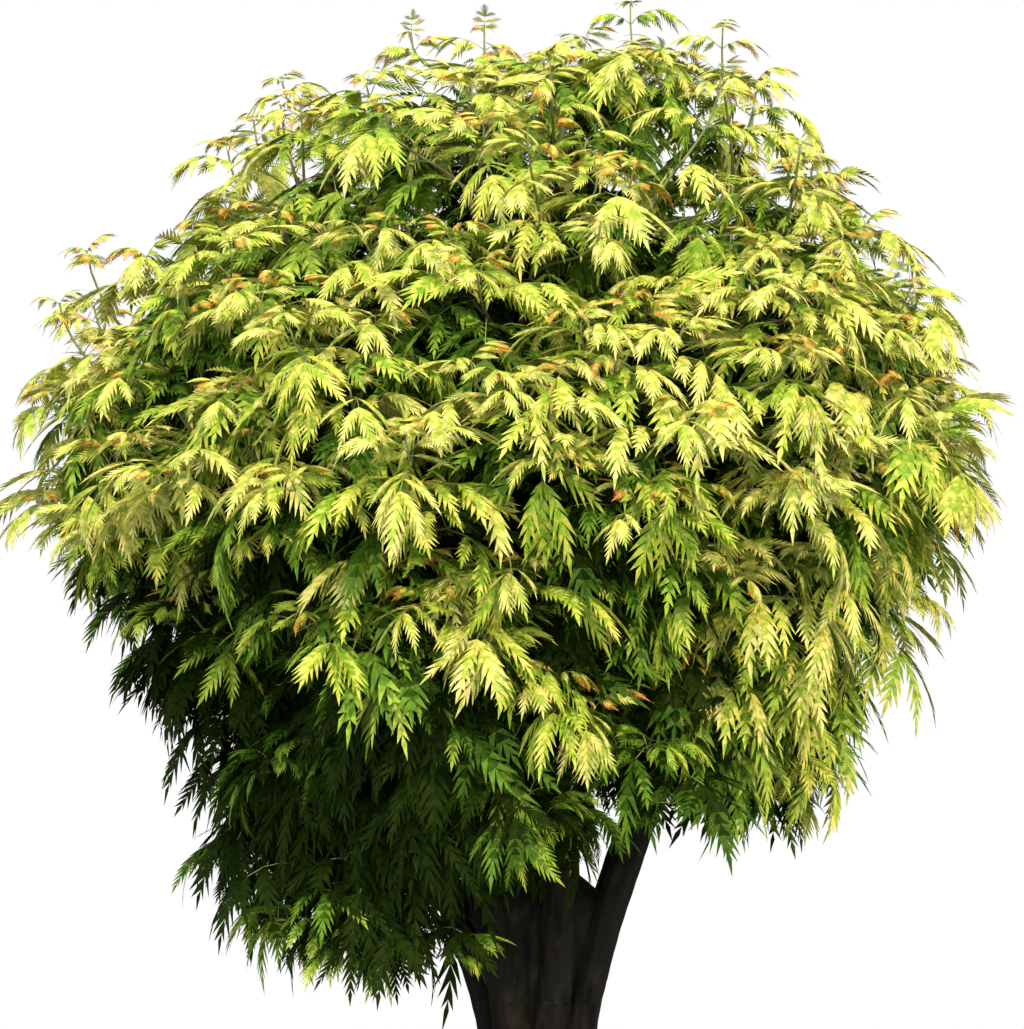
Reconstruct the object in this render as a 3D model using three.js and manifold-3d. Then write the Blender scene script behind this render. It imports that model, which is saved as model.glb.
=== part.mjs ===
// A golden cut-leaf elderberry shrub in a plain round pot.
// Seven stems stand in a ring round an eighth, fused at the foot like a vase. Side boughs leave
// them, each limb ends inside one mass of foliage, and the masses together fill the rounded head.
// Millimetres, +Z up. The origin is the centre of the pot's flat underside. -Y faces the viewer.

import * as THREE from "three";
import { mergeVertices } from "three/addons/utils/BufferGeometryUtils.js";
import Module from "manifold-3d";

const wasm = await Module();
wasm.setup();

// Driving sizes of the pot
const POT_HEIGHT = 430;
const POT_TOP_RADIUS = 278;
const POT_FOOT_RADIUS = 205;
const POT_WALL = 17;
const POT_FLOOR = 24;
const RIM_HEIGHT = 62;
const RIM_PROUD = 13;
const RIM_EDGE = 6;
const POT_SIDES = 40;
const DRAIN_RADIUS = 10;
const DRAIN_CIRCLE = 120;
const DRAIN_COUNT = 4;
const DRAIN_SIDES = 10;
const SOIL_BELOW_RIM = 35;
const CLEAR = 0.35;

// Driving sizes of the stems. A course gives points as distance from the middle and height above
// the soil; the middle stem's gives sideways places too
const SOIL_TOP = POT_HEIGHT - SOIL_BELOW_RIM;
const FORK_HEIGHT = SOIL_TOP + 112;
const RING_STEMS = 7;
const RING_START_DEG = -75;
const RING_COURSE = [
  [48, -20],
  [78, 190],
  [215, 430],
];
const MIDDLE_COURSE = [
  [0, 0, -20],
  [6, -4, 330],
  [-70, 25, 700],
];
const STEM_FOOT_RADIUS = 34;
const STEM_TIP_RADIUS = 12;
const STEM_TAPER = 0.8;
const MIDDLE_SLIMMER = 4;
const FLARE = 0.34;
const FLARE_HEIGHT = 55;
const STEM_SIDES = 8;
const STEM_STEPS = 12;

// Driving sizes of the side boughs
const BOUGH_FOOT_RADIUS = 15;
const BOUGH_TIP_RADIUS = 9;
const BOUGH_MIDDLE = 0.45;
const BOUGH_FOLLOWS_STEM = { upper: 0.15, lower: 0.15, skirt: 0.21 };
const BOUGH_SAG = { upper: 0.06, lower: 0, skirt: 0 };
const BOUGH_SIDES = 6;
const BOUGH_STEPS = 6;
const LIMB_MARGIN = 1.5;

// Driving sizes of the head: how far the leaves reach from its centre, by angle down from the top
const HEAD_CENTRE = new THREE.Vector3(-45, 0, 1180);
const HEAD_DEPTH = 0.95;
const REACH = [
  [0, 905],
  [25, 885],
  [50, 825],
  [84, 812],
  [106, 668],
  [130, 655],
  [152, 760],
];
const UNDERSIDE_DEG = 127;
const SKIRT_DEG = 25;
const SKIRT_AZIMUTH_DEG = 222;

// Driving sizes of the twigs. Nodes and forks are places along a twig, as shares of its length
const TWIGS = 132;
const SPIRAL_START_DEG = 184;
const SPIRAL_STEP_DEG = 180 * (3 - Math.sqrt(5));
const TOP_INSET = 35;
const SIDE_INSET = 125;
const TIP_PULL = 0.1;
const TWIG_FOOT_RADIUS = 7;
const TWIG_TIP_RADIUS = 5;
const LEADER_TAPER = 0.6;
const TWIG_SEED = 500;
const NODE_LENGTH = 9;
const LEADER_BENDS = [0, 0.62];
const TWIG_BENDS = [0.42];
const FIRST_FORK = 0.12;
const LAST_FORK = 0.5;
const LEAF_NODES = [0.8, 1];
const STEEP = 0.15;

// A twig leaves its foot straight, then arches towards its tip: low ones hang, high ones rise. A
// side twig takes one of the faces that look towards its tip, less where its fork is crowded
const TWIG_STRAIGHT = 0.22;
const TWIG_CREST = 0.62;
const TWIG_HANG = 0.4;
const TWIG_RISE = 0.06;
const ARCHES = [1, 0.5, 0];
const SIDE_SPREAD = 0.5;
const CROWDING = 0.2;
const FACES_TRIED = 3;

// Driving sizes of a leaf. Its outline is measured from its arched back, as shares of its length:
// forward, across and down
const LEAF_LENGTH = 265;
const LEAF_VARIES = 0.1;
const LEAF_THICKNESS = 6;
const LEAF_SEED = 900;
const LEAF_BACK = 0.4;
const LEAF_BACK_SLOPE = 0.5;
const LEAF_FINGER = [0.16, 0.36, 0.3];
const LEAF_NOTCH = [0.14, 0.1, 0.12];
const LEAF_TIP = [0.4, 0, 0.46];
const LEAF_LEAN = 0.45;
const LEAF_LOWEST = -0.3;
const LEAF_STEEPEST = 0.8;
const LEAF_OPENS = 0.5;

// A leaf that has no room is tried smaller, and turned by this many degrees
const LEAF_TRIES = [
  [1, 0],
  [0.9, 24],
  [0.9, -24],
  [0.76, 0],
  [0.66, 40],
  [0.66, -40],
  [0.58, 0],
];
const TOUCH_VOLUME = 0.0001;

const UP = new THREE.Vector3(0, 0, 1);
const FOUR = [0, 1, 2, 3];
const radians = THREE.MathUtils.degToRad;
const { lerp, smoothstep } = THREE.MathUtils;

// Numbers between 0 and 1 that are the same on every run
function seeded(seed) {
  let state = seed >>> 0;
  const next = () => {
    state = (Math.imul(state, 1664525) + 1013904223) >>> 0;
    return state / 2 ** 32;
  };
  next();
  next();
  return next;
}

// Solids from geometries, and back
function solidOf(geometry) {
  const bare = new THREE.BufferGeometry()
    .setAttribute("position", geometry.getAttribute("position"))
    .setIndex(geometry.index);
  const merged = mergeVertices(bare, 1e-3);
  return new wasm.Manifold(
    new wasm.Mesh({
      numProp: 3,
      vertProperties: merged.attributes.position.array,
      triVerts: new Uint32Array(merged.index.array),
    }),
  );
}

function geometryOf(solid) {
  const mesh = solid.getMesh();
  return new THREE.BufferGeometry()
    .setAttribute("position", new THREE.BufferAttribute(mesh.vertProperties, 3))
    .setIndex(new THREE.BufferAttribute(mesh.triVerts, 1));
}

function facesOf(points, triangles) {
  const positions = new Float32Array(points.flatMap((p) => [p.x, p.y, p.z]));
  return new THREE.BufferGeometry()
    .setAttribute("position", new THREE.BufferAttribute(positions, 3))
    .setIndex(new THREE.BufferAttribute(new Uint32Array(triangles.flat()), 1));
}

// Joins solids, and keeps the largest body if a cut has left loose scraps
function fuse(solids) {
  const bodies = solids.reduce((sum, piece) => sum.add(piece)).decompose();
  return bodies.reduce((a, b) => (a.volume() > b.volume() ? a : b));
}

// A limb that tapers along a curve, closed by flat ends square to it
function taperedLimb(curve, radiusAt, sides, steps, extra) {
  const frames = curve.computeFrenetFrames(steps, false);
  const points = [];
  for (let i = 0; i <= steps; i++) {
    const centre = curve.getPointAt(i / steps);
    const radius = radiusAt(i / steps, centre) + extra;
    for (let k = 0; k < sides; k++) {
      const turn = (2 * Math.PI * k) / sides;
      const corner = centre.clone().addScaledVector(frames.normals[i], Math.cos(turn) * radius);
      points.push(corner.addScaledVector(frames.binormals[i], Math.sin(turn) * radius));
    }
  }
  const triangles = [];
  for (let i = 0; i < steps; i++)
    for (let k = 0; k < sides; k++) {
      const a = i * sides + k;
      const b = i * sides + ((k + 1) % sides);
      triangles.push([a, b, b + sides], [a, b + sides, a + sides]);
    }
  const last = steps * sides;
  for (let k = 1; k < sides - 1; k++)
    triangles.push([0, k + 1, k], [last, last + k, last + k + 1]);
  return solidOf(facesOf(points, triangles));
}

// The pot: a turned wall with a proud rim band, a thick floor and four drain holes
const RIM_RADIUS = POT_TOP_RADIUS + RIM_PROUD;
const INNER_FOOT = POT_FOOT_RADIUS - POT_WALL;
const INNER_TOP = RIM_RADIUS - POT_WALL - RIM_EDGE;

function makePot() {
  const bandFoot = POT_HEIGHT - RIM_HEIGHT;
  const profile = [
    [0, 0],
    [POT_FOOT_RADIUS - RIM_EDGE, 0],
    [POT_FOOT_RADIUS, RIM_EDGE],
    [lerp(POT_FOOT_RADIUS, POT_TOP_RADIUS, bandFoot / POT_HEIGHT), bandFoot],
    [RIM_RADIUS - RIM_EDGE, bandFoot + RIM_EDGE],
    [RIM_RADIUS, POT_HEIGHT - RIM_EDGE],
    [RIM_RADIUS - RIM_EDGE, POT_HEIGHT],
    [INNER_TOP, POT_HEIGHT],
    [INNER_FOOT, POT_FLOOR],
    [0, POT_FLOOR],
  ].map(([r, z]) => new THREE.Vector2(r, z));
  let pot = solidOf(new THREE.LatheGeometry(profile, POT_SIDES).rotateX(Math.PI / 2));
  for (let k = 0; k < DRAIN_COUNT; k++) {
    const turn = ((k + 0.5) * 2 * Math.PI) / DRAIN_COUNT;
    const hole = new THREE.CylinderGeometry(DRAIN_RADIUS, DRAIN_RADIUS, POT_FLOOR * 3, DRAIN_SIDES)
      .rotateX(Math.PI / 2)
      .translate(Math.cos(turn) * DRAIN_CIRCLE, Math.sin(turn) * DRAIN_CIRCLE, 0);
    pot = pot.subtract(solidOf(hole));
  }
  return pot;
}

// The soil: a filling that follows the pot's inner wall, a little clear of it
function makeSoil() {
  const topRadius = lerp(INNER_FOOT, INNER_TOP, (SOIL_TOP - POT_FLOOR) / (POT_HEIGHT - POT_FLOOR));
  const profile = [
    [0, POT_FLOOR + CLEAR],
    [INNER_FOOT - CLEAR, POT_FLOOR + CLEAR],
    [topRadius - CLEAR, SOIL_TOP],
    [0, SOIL_TOP],
  ].map(([r, z]) => new THREE.Vector2(r, z));
  return solidOf(new THREE.LatheGeometry(profile, POT_SIDES).rotateX(Math.PI / 2));
}

// The head's outer surface, and points inside it at a share of the way out
function reachAt(polarDeg) {
  const last = REACH[REACH.length - 1];
  if (polarDeg >= last[0]) return last[1];
  const next = REACH.findIndex(([angle]) => angle > polarDeg);
  const [a, reachA] = REACH[next - 1];
  const [b, reachB] = REACH[next];
  return lerp(reachA, reachB, (polarDeg - a) / (b - a));
}

function headPoint(polarDeg, azimuthDeg, share, inset = 0) {
  const polar = radians(polarDeg);
  const azimuth = radians(azimuthDeg);
  const distance = reachAt(polarDeg) * share - inset;
  return new THREE.Vector3(
    Math.sin(polar) * Math.cos(azimuth) * distance,
    Math.sin(polar) * Math.sin(azimuth) * distance * HEAD_DEPTH,
    Math.cos(polar) * distance,
  ).add(HEAD_CENTRE);
}

function undersideAt(azimuthDeg) {
  const towards = Math.max(0, Math.cos(radians(azimuthDeg - SKIRT_AZIMUTH_DEG)));
  return UNDERSIDE_DEG + SKIRT_DEG * towards * towards;
}

// The masses of foliage, in tiers down the head. A limb ends at each mass's hub, and a mass keeps
// to the space round its site
const TIERS = [
  { tier: "top", count: 1, polar: 0, start: 0, site: 0.66, hub: 0.42 },
  { tier: "upper", count: 5, polar: 42, start: 60, site: 0.66, hub: 0.46 },
  { tier: "middle", count: RING_STEMS, polar: 78, start: RING_START_DEG, site: 0.66, hub: 0.47 },
  { tier: "lower", count: 6, polar: 110, start: -48, site: 0.74, hub: 0.62 },
];
const SKIRTS = [
  { name: "skirt_left", tier: "skirt", polar: 141, azimuth: 196, site: 0.74, hub: 0.56 },
  { name: "skirt_front", tier: "skirt", polar: 143, azimuth: 246, site: 0.74, hub: 0.56 },
];

const masses = TIERS.flatMap((row) =>
  Array.from({ length: row.count }, (_, k) => ({
    ...row,
    name: row.count > 1 ? `${row.tier}_${k + 1}` : row.tier,
    azimuth: row.start + (360 * k) / row.count,
  })),
)
  .concat(SKIRTS)
  .map(({ name, tier, polar, azimuth, site, hub }) => ({
    name,
    tier,
    azimuth,
    site: headPoint(polar, azimuth, site),
    hub: headPoint(polar, azimuth, hub),
  }));
const massNamed = (name) => masses.find((mass) => mass.name === name);

// The stems: a vase of seven round one, each a curve from the soil to its mass's hub
function stemCurve(mass) {
  const azimuth = radians(mass.azimuth);
  const course =
    mass.tier === "top"
      ? MIDDLE_COURSE
      : RING_COURSE.map(([r, z]) => [Math.cos(azimuth) * r, Math.sin(azimuth) * r, z]);
  const points = course.map(([x, y, z]) => new THREE.Vector3(x, y, SOIL_TOP + z));
  return new THREE.CubicBezierCurve3(...points, mass.hub);
}

const stems = masses
  .filter((mass) => mass.tier === "top" || mass.tier === "middle")
  .map((mass, k) => ({
    name: k === 0 ? "stem_centre" : `stem_${k}`,
    mass,
    curve: stemCurve(mass),
    radiusAt: (share, centre) => {
      const taper = lerp(STEM_FOOT_RADIUS, STEM_TIP_RADIUS, share ** STEM_TAPER);
      const flare = FLARE * Math.exp(-Math.max(0, centre.z - SOIL_TOP) / FLARE_HEIGHT);
      return taper * (1 + flare) - (k === 0 ? MIDDLE_SLIMMER : 0);
    },
  }));

// The side boughs: which stem each leaves, how far up it, and the mass it carries
const BOUGHS = [
  ["stem_centre", 0.6, "upper_1"],
  ["stem_centre", 0.66, "upper_3"],
  ["stem_centre", 0.72, "upper_5"],
  ["stem_centre", 0.78, "upper_2"],
  ["stem_centre", 0.84, "upper_4"],
  ["stem_1", 0.5, "lower_1"],
  ["stem_2", 0.55, "lower_2"],
  ["stem_3", 0.55, "lower_3"],
  ["stem_5", 0.48, "lower_4"],
  ["stem_6", 0.5, "lower_5"],
  ["stem_7", 0.58, "lower_6"],
  ["stem_6", 0.28, "skirt_left"],
  ["stem_7", 0.28, "skirt_front"],
];

const boughs = BOUGHS.map(([stemName, share, massName]) => {
  const stem = stems.find(({ name }) => name === stemName);
  const mass = massNamed(massName);
  const foot = stem.curve.getPointAt(share);
  const span = foot.distanceTo(mass.hub);
  const middle = foot
    .clone()
    .lerp(mass.hub, BOUGH_MIDDLE)
    .addScaledVector(stem.curve.getTangentAt(share), span * BOUGH_FOLLOWS_STEM[mass.tier])
    .addScaledVector(UP, -span * BOUGH_SAG[mass.tier]);
  return {
    name: `bough_${massName}`,
    mass,
    stem,
    curve: new THREE.QuadraticBezierCurve3(foot, middle, mass.hub),
    radiusAt: (t) => lerp(BOUGH_FOOT_RADIUS, BOUGH_TIP_RADIUS, t),
  };
});

// The trunk is the stems' fused foot, from a flat cut at the soil to the height where they part
const wholeStem = ({ curve, radiusAt }, extra = 0) =>
  taperedLimb(curve, radiusAt, STEM_SIDES, STEM_STEPS, extra);
const wholeBough = ({ curve, radiusAt }, extra = 0) =>
  taperedLimb(curve, radiusAt, BOUGH_SIDES, BOUGH_STEPS, extra);

function everythingBelow(z) {
  const size = 2 * POT_TOP_RADIUS;
  return solidOf(new THREE.BoxGeometry(size, size, size).translate(0, 0, z - size / 2));
}

const trunk = fuse(stems.map((stem) => wholeStem(stem)))
  .subtract(everythingBelow(SOIL_TOP + CLEAR))
  .intersect(everythingBelow(FORK_HEIGHT));
for (const stem of stems)
  stem.solid = wholeStem(stem).subtract(everythingBelow(FORK_HEIGHT + CLEAR));
for (const bough of boughs)
  bough.solid = fuse([wholeBough(bough).subtract(wholeStem(bough.stem, 2 * CLEAR))]);

const limbs = [...stems, ...boughs];
const limbSpace = [
  trunk,
  ...stems.map((stem) => wholeStem(stem, LIMB_MARGIN)),
  ...boughs.map((bough) => wholeBough(bough, LIMB_MARGIN)),
].reduce((sum, piece) => sum.add(piece));

// A piece keeps clear if it touches no limb and stays nearer to its own mass's site than to others
function keepsClear(solid, mass) {
  if (!solid.intersect(limbSpace).isEmpty()) return false;
  const { vertProperties } = solid.getMesh();
  const point = new THREE.Vector3();
  for (const other of masses) {
    if (other === mass) continue;
    const away = other.site.clone().sub(mass.site).normalize();
    const border = mass.site.clone().lerp(other.site, 0.5).dot(away) - CLEAR;
    for (let i = 0; i < vertProperties.length; i += 3)
      if (point.fromArray(vertProperties, i).dot(away) > border) return false;
  }
  return true;
}

const crosses = (solid, others) =>
  others.some((other) => solid.intersect(other).volume() > TOUCH_VOLUME);

const middleOf = (corners) =>
  corners.reduce((sum, p) => sum.add(p), new THREE.Vector3()).divideScalar(corners.length);

// A drooping leaf: three long fingers that hang from an arched back. Its root is the four corners
// of a face of the twig, which the leaf's own faces replace
function makeLeaf(corners, along, length) {
  const root = middleOf(corners);
  const flat = new THREE.Vector3(along.x, along.y, 0).normalize();
  const side = new THREE.Vector3().crossVectors(along, UP).normalize();
  const back = root.clone().addScaledVector(along, length * LEAF_BACK);
  const droop = ([forward, across, down], hand = 1) =>
    back
      .clone()
      .addScaledVector(flat, length * forward)
      .addScaledVector(side, length * across * hand)
      .addScaledVector(UP, -length * down);
  const normal = flat.clone().multiplyScalar(LEAF_BACK_SLOPE).add(UP).normalize();
  const points = [
    droop(LEAF_FINGER),
    droop(LEAF_NOTCH),
    droop(LEAF_TIP),
    droop(LEAF_NOTCH, -1),
    droop(LEAF_FINGER, -1),
    back.clone().addScaledVector(normal, LEAF_THICKNESS / 2),
    back.clone().addScaledVector(normal, -LEAF_THICKNESS / 2),
  ];

  // Corners are 0 to 3, and the points follow them
  const all = [...corners, ...points];
  const outline = [4, 5, 6, 7, 8];
  const [upper, lower] = [9, 10];
  const isBehind = (point, [a, b, c]) => {
    const outward = all[b].clone().sub(all[a]).cross(all[c].clone().sub(all[a]));
    return all[point].clone().sub(all[a]).dot(outward) < 0;
  };

  // The root's upper edge, seen along the stalk, joins the upper side, or the next edge where the
  // two sides would fold through each other. A leaf that folds either way is left out
  const stalkUp = UP.clone().addScaledVector(along, -UP.dot(along));
  const heights = corners.map((p) => p.dot(stalkUp));
  const edgeHeight = (k) => heights[k] + heights[(k + 1) % 4];
  for (const first of [...FOUR].sort((a, b) => edgeHeight(b) - edgeHeight(a))) {
    const base = FOUR.map((k) => (first + k) % 4);
    const upperRing = [base[1], ...outline, base[0]];
    const lowerRing = [base[2], ...outline, base[3]];
    const upperFaces = upperRing.map((p, k) => [upper, p, upperRing[(k + 1) % 7]]);
    const lowerFaces = lowerRing.map((p, k) => [lower, lowerRing[(k + 1) % 7], p]);
    const open =
      upperFaces.every((face) => isBehind(lower, face)) &&
      lowerFaces.every((face) => isBehind(upper, face)) &&
      isBehind(base[2], upperFaces[0]) &&
      isBehind(base[3], upperFaces[5]) &&
      isBehind(base[1], lowerFaces[0]) &&
      isBehind(base[0], lowerFaces[5]);
    if (!open) continue;
    const edges = [
      [base[1], base[2], outline[0]],
      [base[3], base[0], outline[4]],
    ];
    return { points, faces: [...edges, ...upperFaces, ...lowerFaces] };
  }
  return null;
}

// Where each twig ends: a spiral down the head, which spaces the tips evenly
function twigTips(count) {
  return Array.from({ length: count }, (_, number) => {
    const azimuthDeg = SPIRAL_START_DEG + SPIRAL_STEP_DEG * number;
    const lowest = Math.cos(radians(undersideAt(azimuthDeg)));
    const height = 1 - ((number + 0.5) / count) * (1 - lowest);
    const polarDeg = THREE.MathUtils.radToDeg(Math.acos(height));
    const inset = lerp(TOP_INSET, SIDE_INSET, smoothstep(polarDeg, 10, 60));
    return { number, polarDeg, point: headPoint(polarDeg, azimuthDeg, 1, inset) };
  });
}

// A twig's curve: it leaves its foot along the heading and arches over to its tip; low ones hang
function twigCurve(foot, heading, tip, arch) {
  const span = foot.distanceTo(tip.point);
  const lift = (TWIG_HANG * smoothstep(tip.polarDeg, 100, 150) - TWIG_RISE) * arch;
  const leaving = foot.clone().addScaledVector(heading, span * TWIG_STRAIGHT);
  const crest = foot.clone().lerp(tip.point, TWIG_CREST).addScaledVector(UP, span * lift);
  return new THREE.CubicBezierCurve3(foot, leaving, crest, tip.point);
}

// A twig is a four-sided tube. At a node two of its rings lie close together, and each face
// between them may open out into a leaf or into the next twig
function makeTwig(curve, radiusAt, turnDeg, bends, nodes) {
  const nodeShare = NODE_LENGTH / curve.getLength();
  const shares = [...bends, ...nodes, ...nodes.map((node) => node - nodeShare)];
  shares.sort((a, b) => a - b);
  const chord = curve.getPointAt(1).sub(curve.getPointAt(0)).normalize();
  const level = new THREE.Vector3().crossVectors(chord, UP);
  if (level.length() < STEEP) level.set(1, 0, 0);
  const rings = shares.map((share) => {
    const centre = curve.getPointAt(share);
    const tangent = curve.getTangentAt(share);
    const normal = level.clone().addScaledVector(tangent, -level.dot(tangent)).normalize();
    const outward = (k) => normal.clone().applyAxisAngle(tangent, radians(turnDeg + 90 * k));
    const radius = radiusAt(share);
    const corners = FOUR.map((k) => outward(k - 0.5).multiplyScalar(radius).add(centre));
    return { share, centre, tangent, outward, corners };
  });
  return { curve, rings, grown: new Map() };
}

const ringOfNode = (twig, node) => twig.rings.findIndex((ring) => ring.share === node) - 1;

function faceOfNode(twig, ring, k) {
  const [lower, upper] = [twig.rings[ring].corners, twig.rings[ring + 1].corners];
  return [lower[k], lower[(k + 1) % 4], upper[(k + 1) % 4], upper[k]];
}

// Writes a twig and all that grows on it as one surface; loop is the face that it grows from
function writeTwig(twig, mesh, loop) {
  const loops = twig.rings.map((ring) => ring.corners.map((p) => mesh.points.push(p) - 1));
  if (loop) {
    const first = twig.rings[0].corners;
    const stretch = (turn) =>
      loop.reduce((sum, p, k) => sum + mesh.points[p].distanceTo(first[(k + turn) % 4]), 0);
    const turn = FOUR.reduce((a, b) => (stretch(a) <= stretch(b) ? a : b));
    loops.unshift(FOUR.map((k) => loop[(k - turn + 4) % 4]));
  } else {
    const [a, b, c, d] = loops[0];
    mesh.faces.push([a, c, b], [a, d, c]);
  }
  for (let i = 0; i < loops.length - 1; i++)
    for (const k of FOUR) {
      const next = (k + 1) % 4;
      const face = [loops[i][k], loops[i][next], loops[i + 1][next], loops[i + 1][k]];
      const grown = twig.grown.get(`${loop ? i - 1 : i} ${k}`);
      if (!grown) mesh.faces.push([face[0], face[1], face[2]], [face[0], face[2], face[3]]);
      else if (grown.curve) writeTwig(grown, mesh, face);
      else writeLeaf(grown, mesh, face);
    }
  const [a, b, c, d] = loops[loops.length - 1];
  mesh.faces.push([a, b, c], [a, c, d]);
}

function writeLeaf(leaf, mesh, face) {
  const offset = mesh.points.length - face.length;
  mesh.points.push(...leaf.points);
  for (const triangle of leaf.faces)
    mesh.faces.push(triangle.map((p) => (p < face.length ? face[p] : p + offset)));
}

// The closed solid of a twig or leaf, with all that grows on it, cut off at the face it grows from
function solidOfTwig(twig, corners) {
  const mesh = { points: [], faces: [] };
  if (corners) {
    mesh.points.push(...corners);
    mesh.faces.push([0, 3, 2], [0, 2, 1]);
  }
  writeTwig(twig, mesh, corners ? FOUR : null);
  return solidOf(facesOf(mesh.points, mesh.faces));
}

function solidOfLeaf(leaf, corners) {
  const mesh = { points: [...corners], faces: [[0, 3, 2], [0, 2, 1]] };
  writeLeaf(leaf, mesh, FOUR);
  return solidOf(facesOf(mesh.points, mesh.faces));
}

// The leader goes on from the limb: the twig that turns least from it and keeps clear
function growLeader(mass, limb, tips, forks) {
  const end = limb.curve.getPointAt(1);
  const heading = limb.curve.getTangentAt(1);
  const start = end.clone().addScaledVector(heading, CLEAR);
  const limbRadius = limb.radiusAt(1, end);
  const radiusAt = (t) => lerp(limbRadius, TWIG_TIP_RADIUS, t ** LEADER_TAPER);
  for (const tip of tips)
    for (const arch of ARCHES) {
      const curve = twigCurve(start, heading, tip, arch);
      const twig = makeTwig(curve, radiusAt, 0, LEADER_BENDS, [...forks, ...LEAF_NODES]);
      const solid = solidOfTwig(twig);
      if (keepsClear(solid, mass)) return { twig, tip, solid };
    }
  return null;
}

// A side twig takes one of the leader's free faces that look towards its tip best
function growSideTwig(mass, leader, forks, tip, others) {
  const places = forks.flatMap((fork) => {
    const ring = ringOfNode(leader, fork);
    const towards = tip.point.clone().sub(leader.rings[ring].centre).normalize();
    const free = FOUR.filter((k) => !leader.grown.has(`${ring} ${k}`));
    const crowding = CROWDING * (FOUR.length - free.length);
    return free.map((k) => {
      const outward = leader.rings[ring].outward(k);
      return { ring, k, outward, towards, look: outward.dot(towards) - crowding };
    });
  });
  const best = places.sort((a, b) => b.look - a.look).slice(0, FACES_TRIED);
  const turnDeg = 90 * seeded(TWIG_SEED + tip.number)() - 45;
  const radiusAt = (t) => lerp(TWIG_FOOT_RADIUS, TWIG_TIP_RADIUS, t);
  for (const { ring, k, outward, towards } of best)
    for (const arch of ARCHES) {
      const corners = faceOfNode(leader, ring, k);
      const heading = towards.clone().addScaledVector(outward, SIDE_SPREAD).normalize();
      const curve = twigCurve(middleOf(corners), heading, tip, arch);
      const twig = makeTwig(curve, radiusAt, turnDeg, TWIG_BENDS, LEAF_NODES);
      const solid = solidOfTwig(twig, corners);
      if (crosses(solid, others) || !keepsClear(solid, mass)) continue;
      leader.grown.set(`${ring} ${k}`, twig);
      return { twig, tip, solid };
    }
  return null;
}

// Opposite pairs of leaves stand near a twig's end, each pair square to the one below it
function growLeaves(mass, { twig, tip }, others) {
  const random = seeded(LEAF_SEED + tip.number);
  LEAF_NODES.forEach((node, place) => {
    const ring = ringOfNode(twig, node);
    const { tangent, outward } = twig.rings[ring];
    for (const k of [place, place + 2]) {
      const corners = faceOfNode(twig, ring, k);
      const aim = tangent.clone().multiplyScalar(LEAF_LEAN).add(outward(k)).normalize();
      const level = Math.hypot(aim.x, aim.y);
      aim.z = THREE.MathUtils.clamp(aim.z, LEAF_LOWEST, LEAF_STEEPEST * level);
      aim.normalize();
      const length = LEAF_LENGTH * (1 - LEAF_VARIES + 2 * LEAF_VARIES * random());
      for (const [shrink, turn] of LEAF_TRIES) {
        const along = aim.clone().applyAxisAngle(UP, radians(turn));
        if (along.dot(outward(k)) < LEAF_OPENS) continue;
        const leaf = makeLeaf(corners, along, length * shrink);
        if (!leaf) continue;
        const solid = solidOfLeaf(leaf, corners);
        if (crosses(solid, others) || !keepsClear(solid, mass)) continue;
        twig.grown.set(`${ring} ${k}`, leaf);
        others.push(solid);
        break;
      }
    }
  });
}

// A mass: a leader goes on from the limb's tip, twigs fork from it one above the other, and the
// leaves keep clear of every twig and of each other. The tips are drawn in a little to the site
function makeMass(mass, limb, tips) {
  const [end, heading] = [limb.curve.getPointAt(1), limb.curve.getTangentAt(1)];
  const drawnIn = tips.map((tip) => ({ ...tip, point: tip.point.clone().lerp(mass.site, TIP_PULL) }));
  const splay = (tip) => tip.point.clone().sub(end).angleTo(heading);
  drawnIn.sort((a, b) => splay(a) - splay(b));
  const pairs = Math.ceil((tips.length - 1) / 2);
  const forks = Array.from({ length: pairs }, (_, k) =>
    lerp(FIRST_FORK, LAST_FORK, pairs > 1 ? k / (pairs - 1) : 0),
  );
  const leader = growLeader(mass, limb, drawnIn, forks);
  const twigs = [leader];
  for (const tip of drawnIn.filter((other) => other !== leader.tip).reverse()) {
    const solids = twigs.map(({ solid }) => solid);
    const grown = growSideTwig(mass, leader.twig, forks, tip, solids);
    if (grown) twigs.push(grown);
  }
  const taken = twigs.map(({ solid }) => solid);
  for (const twig of twigs) growLeaves(mass, twig, taken);
  return solidOfTwig(leader.twig);
}

// Finishes
const terracotta = new THREE.MeshStandardMaterial({ color: 0xa9643f, roughness: 0.85, metalness: 0 });
const compost = new THREE.MeshStandardMaterial({ color: 0x2c2019, roughness: 1, metalness: 0 });
const bark = new THREE.MeshStandardMaterial({ color: 0x4a3d33, roughness: 0.9, metalness: 0 });
const foliage = new THREE.MeshStandardMaterial({ color: 0xc9cc3f, roughness: 0.6, metalness: 0 });

const shrub = new THREE.Group();
function addNode(name, solid, material) {
  const mesh = new THREE.Mesh(geometryOf(solid), material);
  mesh.name = name;
  shrub.add(mesh);
}

addNode("pot", makePot(), terracotta);
addNode("soil", makeSoil(), compost);
addNode("trunk", trunk, bark);
for (const limb of limbs) addNode(limb.name, limb.solid, bark);

const tips = twigTips(TWIGS);
const nearestMass = (point) =>
  masses.reduce((a, b) => (a.site.distanceTo(point) <= b.site.distanceTo(point) ? a : b));
for (const limb of limbs) {
  const mine = tips.filter((tip) => nearestMass(tip.point) === limb.mass);
  addNode(`foliage_${limb.mass.name}`, makeMass(limb.mass, limb, mine), foliage);
}

export default shrub;
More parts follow.
